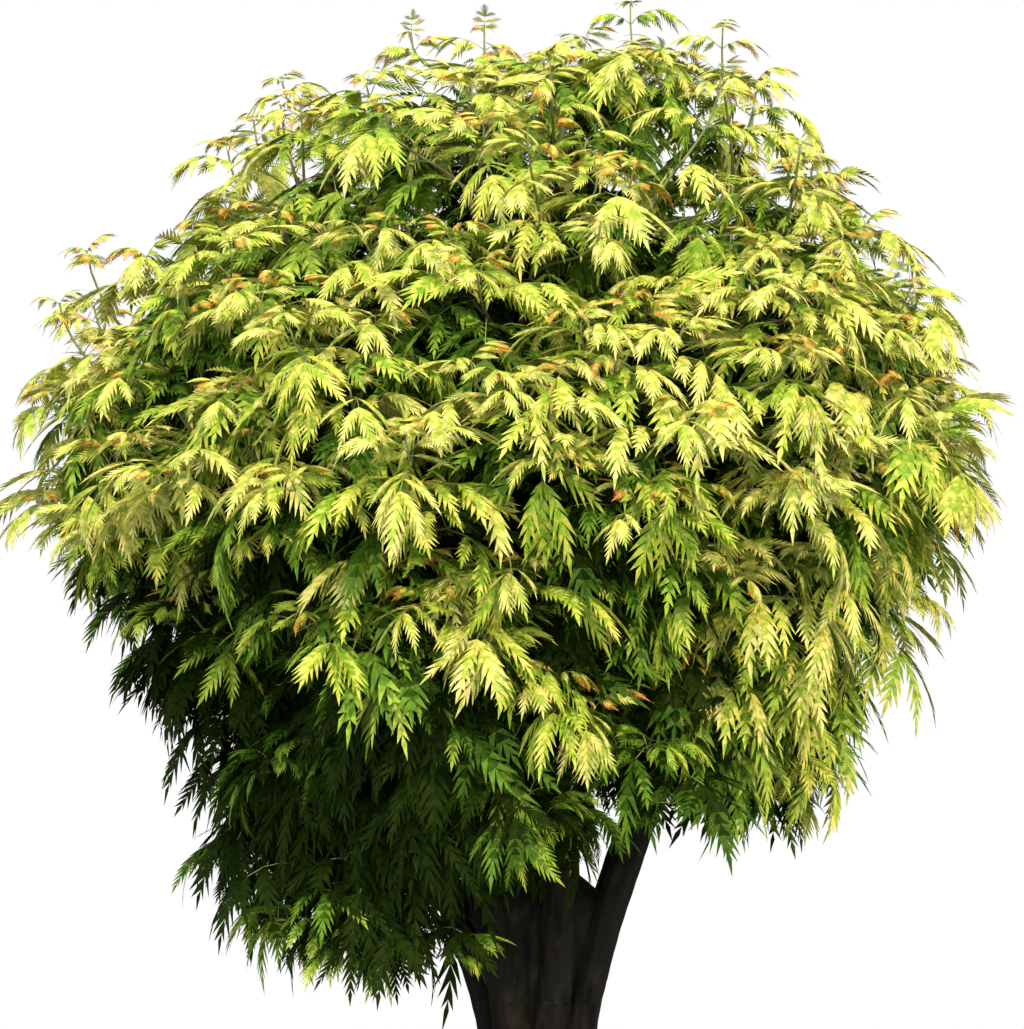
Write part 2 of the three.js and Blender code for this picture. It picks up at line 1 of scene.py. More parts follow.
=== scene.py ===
# A golden cut-leaf elderberry shrub in a plain clay pot, put together from the pot upwards.
import bpy
import math
import numpy as np
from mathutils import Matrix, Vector


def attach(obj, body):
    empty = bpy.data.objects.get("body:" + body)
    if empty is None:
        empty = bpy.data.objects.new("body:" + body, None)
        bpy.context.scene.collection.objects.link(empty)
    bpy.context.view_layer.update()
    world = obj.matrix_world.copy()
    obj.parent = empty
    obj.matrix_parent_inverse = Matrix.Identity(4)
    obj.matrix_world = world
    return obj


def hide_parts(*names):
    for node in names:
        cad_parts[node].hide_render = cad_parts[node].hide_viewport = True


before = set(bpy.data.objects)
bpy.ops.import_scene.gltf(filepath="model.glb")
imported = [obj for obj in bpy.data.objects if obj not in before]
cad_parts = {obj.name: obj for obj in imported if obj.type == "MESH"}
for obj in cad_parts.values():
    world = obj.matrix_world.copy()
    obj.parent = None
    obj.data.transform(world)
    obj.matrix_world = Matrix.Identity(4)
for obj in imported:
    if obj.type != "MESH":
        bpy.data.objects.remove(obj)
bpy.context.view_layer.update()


# The pot is turned from red clay and fired without a glaze. Its wall tapers down to a plain foot,
# the rim is a thicker band with soft edges, and four drain holes are cut through the floor.
POT_HEIGHT = 0.430
POT_TOP_RADIUS = 0.278
POT_FOOT_RADIUS = 0.205
POT_WALL = 0.017
POT_FLOOR = 0.024
RIM_HEIGHT = 0.062
RIM_RADIUS = POT_TOP_RADIUS + 0.013
RIM_EDGE = 0.006
INNER_FOOT = POT_FOOT_RADIUS - POT_WALL
INNER_TOP = RIM_RADIUS - POT_WALL - RIM_EDGE
DRAIN_HOLES = 4
DRAIN_RADIUS = 0.010
DRAIN_CIRCLE = 0.120
DRAIN_SIDES = 28
POT_SIDES = 132
OUTLINE_STEP = 0.011
CORNER_POINTS = 5
THROWING_DEPTH = 0.00022
THROWING_WAVES = 700
CLAY_RED = (0.27, 0.088, 0.040, 1)
CLAY_PALE = (0.38, 0.155, 0.080, 1)
CLAY_DAMP = (0.12, 0.046, 0.026, 1)
LIME_BLOOM = (0.50, 0.42, 0.35, 1)


def soft_outline(corners, edge, spacing):
    """An outline with its inner corners rounded and its long stretches divided evenly."""
    corners = [np.array(corner, float) for corner in corners]
    points = [corners[0]]
    for before, corner, after in zip(corners, corners[1:], corners[2:]):
        arms = []
        for other in (before, after):
            length = np.linalg.norm(other - corner)
            arms.append(corner + (other - corner) / length * min(edge, length / 2))
        for step in np.linspace(0, 1, CORNER_POINTS):
            bend = (1 - step) ** 2 * arms[0] + 2 * step * (1 - step) * corner + step**2 * arms[1]
            points.append(bend)
    points.append(corners[-1])
    fine = [points[0]]
    for start, end in zip(points, points[1:]):
        count = max(1, round(np.linalg.norm(end - start) / spacing))
        fine += [start + (end - start) * k / count for k in range(1, count + 1)]
    return np.array(fine)


def turned(outline, sides, relief):
    """Points and triangles of an outline turned round the upright axis, on which it starts and ends."""
    angle = np.arange(sides) * 2 * math.pi / sides
    radius, height = outline[1:-1, 0], outline[1:-1, 1]
    radius = radius[:, None] + relief(angle[None, :], radius[:, None], height[:, None])
    rings = np.stack(
        [radius * np.cos(angle), radius * np.sin(angle), np.repeat(height[:, None], sides, 1)], 2
    )
    return capped(rings, [[0, 0, outline[0, 1]], [0, 0, outline[-1, 1]]])


def capped(rings, ends):
    """Points and triangles of rings of points, closed by one more point at each end."""
    rows, sides = rings.shape[:2]
    here = np.arange(sides)
    after = (here + 1) % sides
    first, last, top = rows * sides, rows * sides + 1, (rows - 1) * sides
    caps = [
        np.stack([np.full(sides, first), after, here], 1),
        np.stack([np.full(sides, last), top + here, top + after], 1),
    ]
    return np.vstack([rings.reshape(-1, 3), ends]), np.vstack([grid_faces(rows, sides), *caps])


def grid_faces(rows, columns):
    """Triangles between neighbouring rows of points, each row closed into a ring."""
    row, column = np.mgrid[0 : rows - 1, 0:columns]
    here = row * columns + column
    beside = row * columns + (column + 1) % columns
    quads = np.stack([here, beside, beside + columns, here + columns], -1).reshape(-1, 4)
    return np.vstack([quads[:, [0, 1, 2]], quads[:, [0, 2, 3]]])


def mesh_piece(name, points, triangles, smooth=True):
    """A piece made from arrays of points and triangles."""
    mesh = bpy.data.meshes.new(name)
    triangles = np.ascontiguousarray(triangles, np.int32)
    mesh.vertices.add(len(points))
    mesh.vertices.foreach_set("co", np.ascontiguousarray(points, np.float32).ravel())
    mesh.loops.add(triangles.size)
    mesh.loops.foreach_set("vertex_index", triangles.ravel())
    mesh.polygons.add(len(triangles))
    mesh.polygons.foreach_set("loop_start", np.arange(0, triangles.size, 3, dtype=np.int32))
    mesh.polygons.foreach_set("use_smooth", np.full(len(triangles), smooth))
    mesh.update(calc_edges=True)
    mesh.validate()
    piece = bpy.data.objects.new(name, mesh)
    bpy.context.scene.collection.objects.link(piece)
    return piece


class Signal:
    """A socket of a board. Arithmetic on it adds the Math nodes that it stands for."""

    def __init__(self, board, socket):
        self.board, self.socket = board, socket

    def math(self, operation, *values):
        inputs = dict(enumerate(values))
        return self.board.node("ShaderNodeMath", {"operation": operation}, inputs)

    def __add__(self, other):
        return self.math("ADD", self, other)

    def __mul__(self, other):
        return self.math("MULTIPLY", self, other)

    def __sub__(self, other):
        return self.math("SUBTRACT", self, other)

    def __rsub__(self, other):
        return self.math("SUBTRACT", other, self)

    __radd__ = __add__
    __rmul__ = __mul__

    def between(self, low, high):
        """0 up to low, 1 from high, with a soft step between them."""
        settings = {"interpolation_type": "SMOOTHSTEP"}
        sockets = {"Value": self, "From Min": low, "From Max": high}
        return self.board.node("ShaderNodeMapRange", settings, sockets)


class Board:
    """The nodes of a material or of the surround."""

    def __init__(self, tree):
        self.tree = tree

    def node(self, kind, settings={}, sockets={}, output=0):
        """Adds a node: its settings first, then the values or links of its sockets."""
        made = self.tree.nodes.new(kind)
        for name, value in settings.items():
            setattr(made, name, value)
        for name, value in sockets.items():
            self.feed(made.inputs[name], value)
        return Signal(self, made.outputs[output])

    def feed(self, socket, value):
        if isinstance(value, Signal):
            self.tree.links.new(value.socket, socket)
        else:
            socket.default_value = value

    def blend(self, share, first, second):
        """A colour between two others."""
        settings = {"data_type": "RGBA"}
        return self.node("ShaderNodeMix", settings, {0: share, 6: first, 7: second}, 2)


class Finish(Board):
    """A material, with one Principled surface and the nodes that drive it."""

    def __init__(self, name, roughness):
        self.material = bpy.data.materials.new(name)
        self.material.use_nodes = True
        super().__init__(self.material.node_tree)
        self.surface = self.tree.nodes["Principled BSDF"]
        self.surface.inputs["Roughness"].default_value = roughness
        self.place = self.node("ShaderNodeTexCoord", output="Object")

    def grain(self, scale, detail=4, stretch=(1, 1, 1)):
        """Noise of that many waves a metre, drawn out along an axis by a small stretch value."""
        vector = self.node(
            "ShaderNodeVectorMath", {"operation": "MULTIPLY"}, {0: self.place, 1: stretch}
        )
        sockets = {"Vector": vector, "Scale": scale, "Detail": detail}
        return self.node("ShaderNodeTexNoise", {}, sockets, "Fac")

    def height(self):
        return self.node("ShaderNodeSeparateXYZ", {}, {0: self.place}, "Z")

    def colour(self, value):
        self.feed(self.surface.inputs["Base Color"], value)

    def bump(self, height, depth):
        sockets = {"Height": height, "Strength": 1.0, "Distance": depth}
        made = self.node("ShaderNodeBump", {}, sockets)
        self.feed(self.surface.inputs["Normal"], made)


def throwing_lines(angle, radius, height):
    """How far the wall stands proud, from the lines of the thrower's fingers and a slight wobble."""
    lines = THROWING_DEPTH * np.sin(height * THROWING_WAVES + 0.7 * np.sin(angle * 2))
    wobble = 0.0008 * np.sin(angle * 2 + 1) + 0.0004 * np.sin(angle * 3 + height * 9)
    return np.where(radius > INNER_FOOT * 0.9, lines + wobble, 0)


band_foot = POT_HEIGHT - RIM_HEIGHT
wall_at_band = POT_FOOT_RADIUS + (POT_TOP_RADIUS - POT_FOOT_RADIUS) * band_foot / POT_HEIGHT
pot_outline = soft_outline(
    [
        (0, 0),
        (POT_FOOT_RADIUS, 0),
        (wall_at_band, band_foot),
        (RIM_RADIUS, band_foot + RIM_EDGE),
        (RIM_RADIUS, POT_HEIGHT),
        (INNER_TOP, POT_HEIGHT),
        (INNER_FOOT, POT_FLOOR),
        (0, POT_FLOOR),
    ],
    RIM_EDGE,
    OUTLINE_STEP,
)
pot = mesh_piece("clay_pot", *turned(pot_outline, POT_SIDES, throwing_lines))
for hole in range(DRAIN_HOLES):
    turn = (hole + 0.5) * 2 * math.pi / DRAIN_HOLES
    spot = (math.cos(turn) * DRAIN_CIRCLE, math.sin(turn) * DRAIN_CIRCLE, 0)
    bpy.ops.mesh.primitive_cylinder_add(
        vertices=DRAIN_SIDES, radius=DRAIN_RADIUS, depth=POT_FLOOR * 3, location=spot
    )
    drill = bpy.context.object
    cut = pot.modifiers.new("drain", "BOOLEAN")
    cut.operation, cut.object, cut.solver = "DIFFERENCE", drill, "EXACT"
    bpy.context.view_layer.update()
    drilled = pot.evaluated_get(bpy.context.evaluated_depsgraph_get())
    pot_mesh = bpy.data.meshes.new_from_object(drilled)
    pot.modifiers.clear()
    pot.data = pot_mesh
    bpy.data.objects.remove(drill)

clay = Finish("fired clay", 0.82)
cloudy = clay.grain(7, 5)
speckle = clay.grain(160, 3)
damp = (1 - clay.height().between(0.0, 0.16)) * cloudy.between(0.35, 0.6)
bloom = clay.grain(24, 9).between(0.50, 0.68) * clay.grain(5, 2).between(0.46, 0.68)
fired = clay.blend(cloudy, CLAY_RED, CLAY_PALE)
stained = clay.blend(damp * 0.75, fired, CLAY_DAMP)
clay.colour(clay.blend(bloom * 0.5 + speckle * 0.10, stained, LIME_BLOOM))
clay.bump(speckle * 0.6 + clay.grain(45, 4) * 0.4, 0.0012)
pot.data.materials.clear()
pot.data.materials.append(clay.material)
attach(pot, "root")
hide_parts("pot")


# The compost is moist peat and fine bark that fills the pot to 35 mm below its rim. Its surface is
# uneven, heaped a little round the stems, with loose crumbs and chips half sunk in it.
SOIL_TOP = 0.395
SOIL_CLEAR = 0.0008
SOIL_TOP_RADIUS = INNER_FOOT + (INNER_TOP - INNER_FOOT) * (SOIL_TOP - POT_FLOOR) / (
    POT_HEIGHT - POT_FLOOR
)
SOIL_RINGS = 46
SOIL_SIDES = 120
CRUMBS = 1100
CRUMB_SIZES = 0.002, 0.007
CHIPS = 260
CHIP_SIZES = 0.006, 0.014
STREWN_CLEAR = 0.012
PEAT_DARK = (0.012, 0.008, 0.006, 1)
PEAT_BROWN = (0.060, 0.036, 0.022, 1)
CHIP_BROWN = (0.17, 0.095, 0.050, 1)


def lumps(x, y):
    """The height of the compost's surface over its level, in metres."""
    wide = 0.0035 * np.sin(x * 31 + 1) * np.sin(y * 27 + 2) + 0.002 * np.sin(x * 73 + y * 51)
    small = 0.0011 * np.sin(x * 190 + 3 * np.sin(y * 160)) * np.sin(y * 210 + 2)
    heap = 0.012 * np.exp(-((np.hypot(x, y) / 0.13) ** 2))
    return wide + small + heap - 0.004


soil_turn = np.arange(SOIL_SIDES) * 2 * math.pi / SOIL_SIDES
soil_radius = np.linspace(0.004, 1, SOIL_RINGS)[::-1, None] * (SOIL_TOP_RADIUS - SOIL_CLEAR)
soil_x, soil_y = soil_radius * np.cos(soil_turn), soil_radius * np.sin(soil_turn)
soil_top = np.stack([soil_x, soil_y, SOIL_TOP + lumps(soil_x, soil_y)], 2)
soil_foot = soil_top[0] * ((INNER_FOOT - SOIL_CLEAR) / (SOIL_TOP_RADIUS - SOIL_CLEAR))
soil_foot[:, 2] = POT_FLOOR + SOIL_CLEAR
soil_ends = [[0, 0, POT_FLOOR + SOIL_CLEAR], [0, 0, SOIL_TOP + lumps(0, 0)]]
soil = mesh_piece("compost", *capped(np.concatenate([soil_foot[None], soil_top]), soil_ends))

chance = np.random.default_rng(11)
LUMP_CORNERS = np.array(
    [(0, 0, 1), (0, 0, -1), (1, 0, 0), (0, 1, 0), (-1, 0, 0), (0, -1, 0)], float
)
LUMP_FACES = np.array(
    [(0, 2, 3), (0, 3, 4), (0, 4, 5), (0, 5, 2), (1, 3, 2), (1, 4, 3), (1, 5, 4), (1, 2, 5)]
)


def scattered(count, sizes, flatness):
    """Small angular lumps strewn over the compost, each with its own shape and turn."""
    reach = np.sqrt(chance.uniform(0.04, 1, count)) * (SOIL_TOP_RADIUS - STREWN_CLEAR)
    turn = chance.uniform(0, 2 * math.pi, count)
    x, y = reach * np.cos(turn), reach * np.sin(turn)
    size = chance.uniform(*sizes, count)
    shape = LUMP_CORNERS * chance.uniform(0.6, 1.3, (count, 6, 3)) * size[:, None, None]
    shape *= flatness
    spin = chance.uniform(0, 2 * math.pi, count)[:, None]
    across = shape[..., 0] * np.cos(spin) - shape[..., 1] * np.sin(spin)
    along = shape[..., 0] * np.sin(spin) + shape[..., 1] * np.cos(spin)
    tip = chance.uniform(-0.5, 0.5, count)[:, None]
    rise = shape[..., 2] + across * tip
    level = (SOIL_TOP + lumps(x, y) + size * 0.25)[:, None]
    points = np.stack([x[:, None] + across, y[:, None] + along, level + rise], 2)
    faces = LUMP_FACES[None] + 6 * np.arange(count)[:, None, None]
    return points.reshape(-1, 3), faces.reshape(-1, 3)


crumbs = mesh_piece("compost_crumbs", *scattered(CRUMBS, CRUMB_SIZES, (1, 1, 0.8)), False)
chips = mesh_piece("bark_chips", *scattered(CHIPS, CHIP_SIZES, (1.3, 0.55, 0.22)), False)

peat = Finish("moist compost", 0.95)
peat.colour(peat.blend(peat.grain(55, 6).between(0.35, 0.7), PEAT_DARK, PEAT_BROWN))
peat.bump(peat.grain(240, 6), 0.003)
chip = Finish("bark chips", 0.85)
chip.colour(chip.blend(chip.grain(60, 3), PEAT_BROWN, CHIP_BROWN))
chip.bump(chip.grain(300, 4, (1, 1, 0.3)), 0.001)
for piece, finish in ((soil, peat), (crumbs, peat), (chips, chip)):
    piece.data.materials.append(finish.material)
    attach(piece, "root")
    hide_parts("soil")


# Eight stems rise from one fused foot: seven in a ring that lean out like a vase, and one in the
# middle, with low webs of wood between them. Their bark is furrowed, coarser at the foot, with a
# green bloom of algae low down, and its colours are painted near black, darker than the bark's own
# grey-brown, as painted shade for the shadow under the head.
HEAD_CENTRE = np.array([-0.045, 0, 1.180])
HEAD_DEPTH = 0.95
REACH_ANGLES = np.radians([0, 25, 50, 84, 106, 130, 152])
REACH = [0.905, 0.885, 0.825, 0.812, 0.668, 0.655, 0.760]
FORK_HEIGHT = SOIL_TOP + 0.112
RING_STEMS = 7
RING_START = math.radians(-75)
RING_COURSE = [(0.048, -0.020), (0.078, 0.190), (0.215, 0.430)]
MIDDLE_COURSE = [(0, 0, -0.020), (0.006, -0.004, 0.330), (-0.070, 0.025, 0.700)]
STEM_FOOT_RADIUS = 0.034
STEM_TIP_RADIUS = 0.012
FLARE = 0.34
FLARE_HEIGHT = 0.055
MIDDLE_SLIMMER = 0.004
STEM_SIDES = 36
STEM_RINGS = 76
FOOT_START = 0.012
FOOT_OVERLAP = 0.006
FOOT_RINGS = 26
WEB_HEIGHT = 0.25
WEB_HOLLOW = 0.24
CORE_BELOW = 0.01
CORE_TAPER = 0.92
CORE_TAPER_START = 0.66
CORE_SIDES = 72
CORE_RINGS = 40
RING_CROWDING = 1.15
FURROW_WIDTH = 0.0125
FEWEST_FURROWS = 5
RIDGE_RELIEF = 0.13
CRACK_RELIEF = 0.025
# The bark colours are painted far darker than the bark's own grey-brown: painted shade.
SHADED_BARK_DARK = (0.0025, 0.0022, 0.0018, 1)
SHADED_BARK_BROWN = (0.0085, 0.0066, 0.0052, 1)
SHADED_BARK_GREY = (0.017, 0.0156, 0.013, 1)
SHADED_ALGAE = (0.008, 0.012, 0.005, 1)


def unit(vectors):
    return vectors / np.maximum(np.linalg.norm(vectors, axis=-1, keepdims=True), 1e-9)


def soft_step(value, low, high):
    share = np.clip((value - low) / (high - low), 0, 1)
    return share * share * (3 - 2 * share)


def head_point(polar, azimuth, share=1.0, inset=0.0):
    """A point of the head, by the angle down from its top and the angle round it."""
    reach = np.interp(polar, REACH_ANGLES, REACH) * share - inset
    way = [
        np.sin(polar) * np.cos(azimuth),
        np.sin(polar) * np.sin(azimuth) * HEAD_DEPTH,
        np.cos(polar),
    ]
    return np.stack(way, -1) * np.asarray(reach)[..., None] + HEAD_CENTRE


masses = {}
for tier, count, polar, start, site, hub in (
    # name, how many, degrees down, degrees round, and how far out its middle and its limb's end are
    ("top", 1, 0, 0, 0.66, 0.42),
    ("upper", 5, 42, 60, 0.66, 0.46),
    ("middle", RING_STEMS, 78, -75, 0.66, 0.47),
    ("lower", 6, 110, -48, 0.74, 0.62),
    ("skirt_left", 1, 141, 196, 0.74, 0.56),
    ("skirt_front", 1, 143, 246, 0.74, 0.56),
):
    for k in range(count):
        way = math.radians(polar), math.radians(start + 360 * k / count)
        name = f"{tier}_{k + 1}" if count > 1 else tier
        places = {"site": head_point(*way, site), "hub": head_point(*way, hub)}
        masses[name] = {"tier": tier, "azimuth": way[1], **places}


def bezier(controls, share):
    """Points of a curve through its controls, for an array of shares of the way along it."""
    controls = np.asarray(controls, float)
    share = np.asarray(share, float)[..., None]
    degree = len(controls) - 1
    terms = [
        math.comb(degree, k) * share**k * (1 - share) ** (degree - k) * controls[k]
        for k in range(degree + 1)
    ]
    return sum(terms)


def even_shares(controls):
    """A function from a share of a curve's length to the share of the way along it, and the length."""
    fine = np.linspace(0, 1, 201)
    steps = np.linalg.norm(np.diff(bezier(controls, fine), axis=0), axis=1)
    length = np.concatenate([[0], np.cumsum(steps)])
    return lambda share: np.interp(share, length / length[-1], fine), length[-1]


def frames_along(points):
    """Two directions square to a line of points at each of them, with no twist along it."""
    tangents = unit(np.gradient(points, axis=0))
    first = unit(np.cross(tangents[0], (0, 1, 0.1)))
    normals = [first]
    for tangent in tangents[1:]:
        normals.append(unit(normals[-1] - tangent * np.dot(normals[-1], tangent)))
    normals = np.array(normals)
    return normals, np.cross(tangents, normals)


def bark_tube(controls, radius_at, low, high, sides, rings, seed):
    """Rings of points on a limb with bark relief, from one share of its length to another."""
    along, length = even_shares(controls)
    shares = low + (high - low) * np.linspace(0, 1, rings) ** RING_CROWDING
    centres = bezier(controls, along(shares))
    normals, sideways = frames_along(centres)
    radius = radius_at(shares, centres)[:, None]
    turn = np.arange(sides) * 2 * math.pi / sides
    run = (shares * length)[:, None]
    waver = 0.8 * np.sin(run * 13 + seed) + 0.5 * np.sin(run * 31 + 2 * np.sin(turn + seed))
    quarter_way = np.array([0.25])
    girth = radius_at(quarter_way, bezier(controls, along(quarter_way)))[0]
    furrows = max(FEWEST_FURROWS, round(math.pi * girth / FURROW_WIDTH))
    ridge = np.abs(np.sin(turn * furrows / 2 + waver + seed))
    cracks = np.abs(np.sin(run * 75 + 2.5 * np.sin(turn * 3 + seed) + seed))
    swelling = 0.05 * np.sin(turn * 2 + run * 7 + seed) + 0.03 * np.sin(turn * 3 - run * 17)
    relief = RIDGE_RELIEF * (ridge - 0.7) + CRACK_RELIEF * (cracks - 0.6) * ridge + swelling
    reach = radius * (1 + relief)
    ring = normals[:, None] * np.cos(turn)[:, None] + sideways[:, None] * np.sin(turn)[:, None]
    return centres[:, None] + ring * reach[..., None]


def tube_faces(rows, sides):
    """Triangles of a tube of rings, with both of its ends closed."""
    first = np.arange(1, sides - 1)
    last = (rows - 1) * sides
    low_end = np.stack([np.zeros(sides - 2, int), first + 1, first], 1)
    high_end = np.stack([np.full(sides - 2, last), last + first, last + first + 1], 1)
    return np.vstack([grid_faces(rows, sides), low_end, high_end])


def closed_tube(rings):
    """Points and triangles of one tube, from its rings of points."""
    return rings.reshape(-1, 3), tube_faces(*rings.shape[:2])


def joined(parts):
    """Several lots of points and triangles as one."""
    counts = np.cumsum([0] + [len(points) for points, _ in parts])
    faces = [triangles + start for (_, triangles), start in zip(parts, counts)]
    return np.vstack([points for points, _ in parts]), np.vstack(faces)


stems = {}
for name, mass in masses.items():
    if mass["tier"] == "top":
        stem_name, course = "stem_centre", MIDDLE_COURSE
    elif mass["tier"] == "middle":
        stem_name = name.replace("middle", "stem")
        across, back = math.cos(mass["azimuth"]), math.sin(mass["azimuth"])
        course = [(across * r, back * r, z) for r, z in RING_COURSE]
    else:
        continue
    lifted = [(x, y, z + SOIL_TOP) for x, y, z in course]
    stems[stem_name] = {"controls": [*lifted, mass["hub"]], "mass": name}


def stem_radius(slimmer):
    """A function for a stem's radius, which flares out where it nears the compost."""

    def radius_at(shares, centres):
        taper = STEM_FOOT_RADIUS + (STEM_TIP_RADIUS - STEM_FOOT_RADIUS) * shares**0.8
        rise = np.maximum(0, centres[:, 2] - SOIL_TOP)
        return taper * (1 + FLARE * np.exp(-rise / FLARE_HEIGHT)) - slimmer

    return radius_at


bark = Finish("furrowed bark", 0.9)
bark.surface.inputs["Specular IOR Level"].default_value = 0.15
streaks = bark.grain(85, 5, (1, 1, 0.16))
mottle = bark.grain(14, 4)
aged = bark.blend(streaks.between(0.36, 0.62), SHADED_BARK_DARK, SHADED_BARK_BROWN)
weathered = bark.blend(mottle.between(0.52, 0.72) * 0.55, aged, SHADED_BARK_GREY)
greened = (1 - bark.height().between(0.5, 0.95)) * bark.grain(9, 3).between(0.46, 0.66)
bark.colour(bark.blend(greened * 0.6, weathered, SHADED_ALGAE))
bark.bump(streaks * 0.7 + bark.grain(260, 5, (1, 1, 0.4)) * 0.3, 0.004)

foot_parts = []
for number, (name, stem) in enumerate(stems.items()):
    radius_at = stem_radius(MIDDLE_SLIMMER if name == "stem_centre" else 0)
    along, _ = even_shares(stem["controls"])
    spread = np.linspace(0, 1, 400)
    heights = bezier(stem["controls"], along(spread))[:, 2]
    fork = np.interp(FORK_HEIGHT, heights, spread)
    seed = number * 1.7
    foot_end = fork + FOOT_OVERLAP
    foot = bark_tube(stem["controls"], radius_at, FOOT_START, foot_end, STEM_SIDES, FOOT_RINGS, seed)
    foot_parts.append(closed_tube(foot))
    body = bark_tube(stem["controls"], radius_at, fork, 1.0, STEM_SIDES, STEM_RINGS, seed)
    piece = mesh_piece(f"bark_{name}", *closed_tube(body))
    piece.data.materials.append(bark.material)
    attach(piece, "root")
    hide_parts(name)

ring_course = bezier(stems["stem_1"]["controls"], np.linspace(0, 0.6, 60))
core_top = FORK_HEIGHT + WEB_HEIGHT
core_course = [(0, 0, SOIL_TOP - CORE_BELOW), (0, 0, core_top)]


def core_radius(shares, centres):
    """The radius of the wood that fills the ring of stems, and closes to a point above the fork."""
    ring = np.interp(centres[:, 2], ring_course[:, 2], np.hypot(*ring_course[:, :2].T))
    return ring * (1 - CORE_TAPER * soft_step(shares, CORE_TAPER_START, 1.0))


core = bark_tube(core_course, core_radius, 0.0, 1.0, CORE_SIDES, CORE_RINGS, 4.1)
between = 0.5 - 0.5 * np.cos((np.arctan2(core[..., 1], core[..., 0]) - RING_START) * RING_STEMS)
hollow = WEB_HOLLOW * (between * soft_step(core[..., 2], FORK_HEIGHT, core_top))
core[..., :2] *= 1 - hollow[..., None]
foot_parts.append(closed_tube(core))
trunk = mesh_piece("bark_trunk", *joined(foot_parts))
trunk.data.materials.append(bark.material)
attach(trunk, "root")
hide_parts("trunk")


# Side boughs leave the stems, each a single tapering limb that ends inside its own mass of leaves.
# They carry the same bark as the stems, in finer furrows.
BOUGH_FOOT_RADIUS = 0.015
BOUGH_TIP_RADIUS = 0.009
BOUGH_SIDES = 24
BOUGH_RINGS = 44
BEND_PLACE = 0.45
FOLLOWS_STEM = 0.15
SKIRT_FOLLOWS_STEM = 0.21
UPPER_SAG = 0.06
BOUGHS = [
    # the stem it leaves, the share of the stem's length there, and the mass that it carries
    ("stem_centre", 0.60, "upper_1"),
    ("stem_centre", 0.66, "upper_3"),
    ("stem_centre", 0.72, "upper_5"),
    ("stem_centre", 0.78, "upper_2"),
    ("stem_centre", 0.84, "upper_4"),
    ("stem_1", 0.50, "lower_1"),
    ("stem_2", 0.55, "lower_2"),
    ("stem_3", 0.55, "lower_3"),
    ("stem_5", 0.48, "lower_4"),
    ("stem_6", 0.50, "lower_5"),
    ("stem_7", 0.58, "lower_6"),
    ("stem_6", 0.28, "skirt_left"),
    ("stem_7", 0.28, "skirt_front"),
]
UP = np.array([0, 0, 1.0])


def bough_radius(shares, centres):
    return BOUGH_FOOT_RADIUS + (BOUGH_TIP_RADIUS - BOUGH_FOOT_RADIUS) * shares


limbs = {stem["mass"]: (stem["controls"], STEM_TIP_RADIUS) for stem in stems.values()}
for number, (stem_name, share, mass_name) in enumerate(BOUGHS):
    controls = stems[stem_name]["controls"]
    along, _ = even_shares(controls)
    foot, ahead = bezier(controls, along(np.array([share, share + 0.002])))
    hub = masses[mass_name]["hub"]
    span = np.linalg.norm(hub - foot)
    follows = SKIRT_FOLLOWS_STEM if mass_name.startswith("skirt") else FOLLOWS_STEM
    sag = UPPER_SAG if mass_name.startswith("upper") else 0
    middle = foot + (hub - foot) * BEND_PLACE + unit(ahead - foot) * span * follows - UP * span * sag
    course = [foot, middle, hub]
    limbs[mass_name] = (course, BOUGH_TIP_RADIUS)
    bough = bark_tube(course, bough_radius, 0.0, 1.0, BOUGH_SIDES, BOUGH_RINGS, number * 2.3)
    piece = mesh_piece(f"bark_bough_{mass_name}", *closed_tube(bough))
    piece.data.materials.append(bark.material)
    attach(piece, "root")
    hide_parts(f"bough_{mass_name}")


# Inside each mass a leader goes on from the limb's end, and twigs fork from it, the widest lowest
# down. Their tips lie on one long spiral down the head, so that no side of it is bare.
TWIGS = 132
SPIRAL_START = math.radians(184)
SPIRAL_STEP = math.pi * (3 - math.sqrt(5))
UNDERSIDE = math.radians(127)
SKIRT = math.radians(25)
SKIRT_AZIMUTH = math.radians(222)
TOP_INSET = 0.035
SIDE_INSET = 0.125
TIP_PULL = 0.1
FIRST_FORK = 0.12
LAST_FORK = 0.5
CREST_PLACE = 0.62
HEADING_HELD = 0.22
TWIG_SAG = 0.06
LOW_TWIG_ARCH = 0.4
SIDE_TWIG_RADIUS = 0.007
TWIG_TIP_RADIUS = 0.0035
TWIG_SIDES = 6
TWIG_PLACES = 12
TWIG_DRAWN = 0.86
TWIG_BARK = (0.075, 0.060, 0.034, 1)
TWIG_GREEN = (0.13, 0.15, 0.045, 1)


def down_the_head(polar, low, high):
    """0 down to one angle from the head's top and 1 below the other, both in degrees."""
    return soft_step(polar, math.radians(low), math.radians(high))


def spiral(count, top_inset, side_inset, turn=0.0, skirt=(SKIRT_AZIMUTH, 2)):
    """Angles and points spaced evenly over the head, from its top down to its underside."""
    number = np.arange(count)
    azimuth = SPIRAL_START + turn + SPIRAL_STEP * number
    towards = np.maximum(0, np.cos(azimuth - skirt[0]))
    lowest = np.cos(UNDERSIDE + SKIRT * towards ** skirt[1])
    polar = np.arccos(1 - (number + 0.5) / count * (1 - lowest))
    side = down_the_head(polar, 10, 60)
    inset = top_inset + (side_inset - top_inset) * side
    return polar, azimuth, head_point(polar, azimuth, 1.0, inset)


def twig_controls(foot, heading, tip, polar):
    """A twig leaves its foot along the heading and arches over to its tip; low ones hang."""
    span = np.linalg.norm(tip - foot)
    lift = LOW_TWIG_ARCH * down_the_head(polar, 100, 150) - TWIG_SAG
    crest = foot + (tip - foot) * CREST_PLACE + UP * span * lift
    return np.array([foot, foot + heading * span * HEADING_HELD, crest, tip])


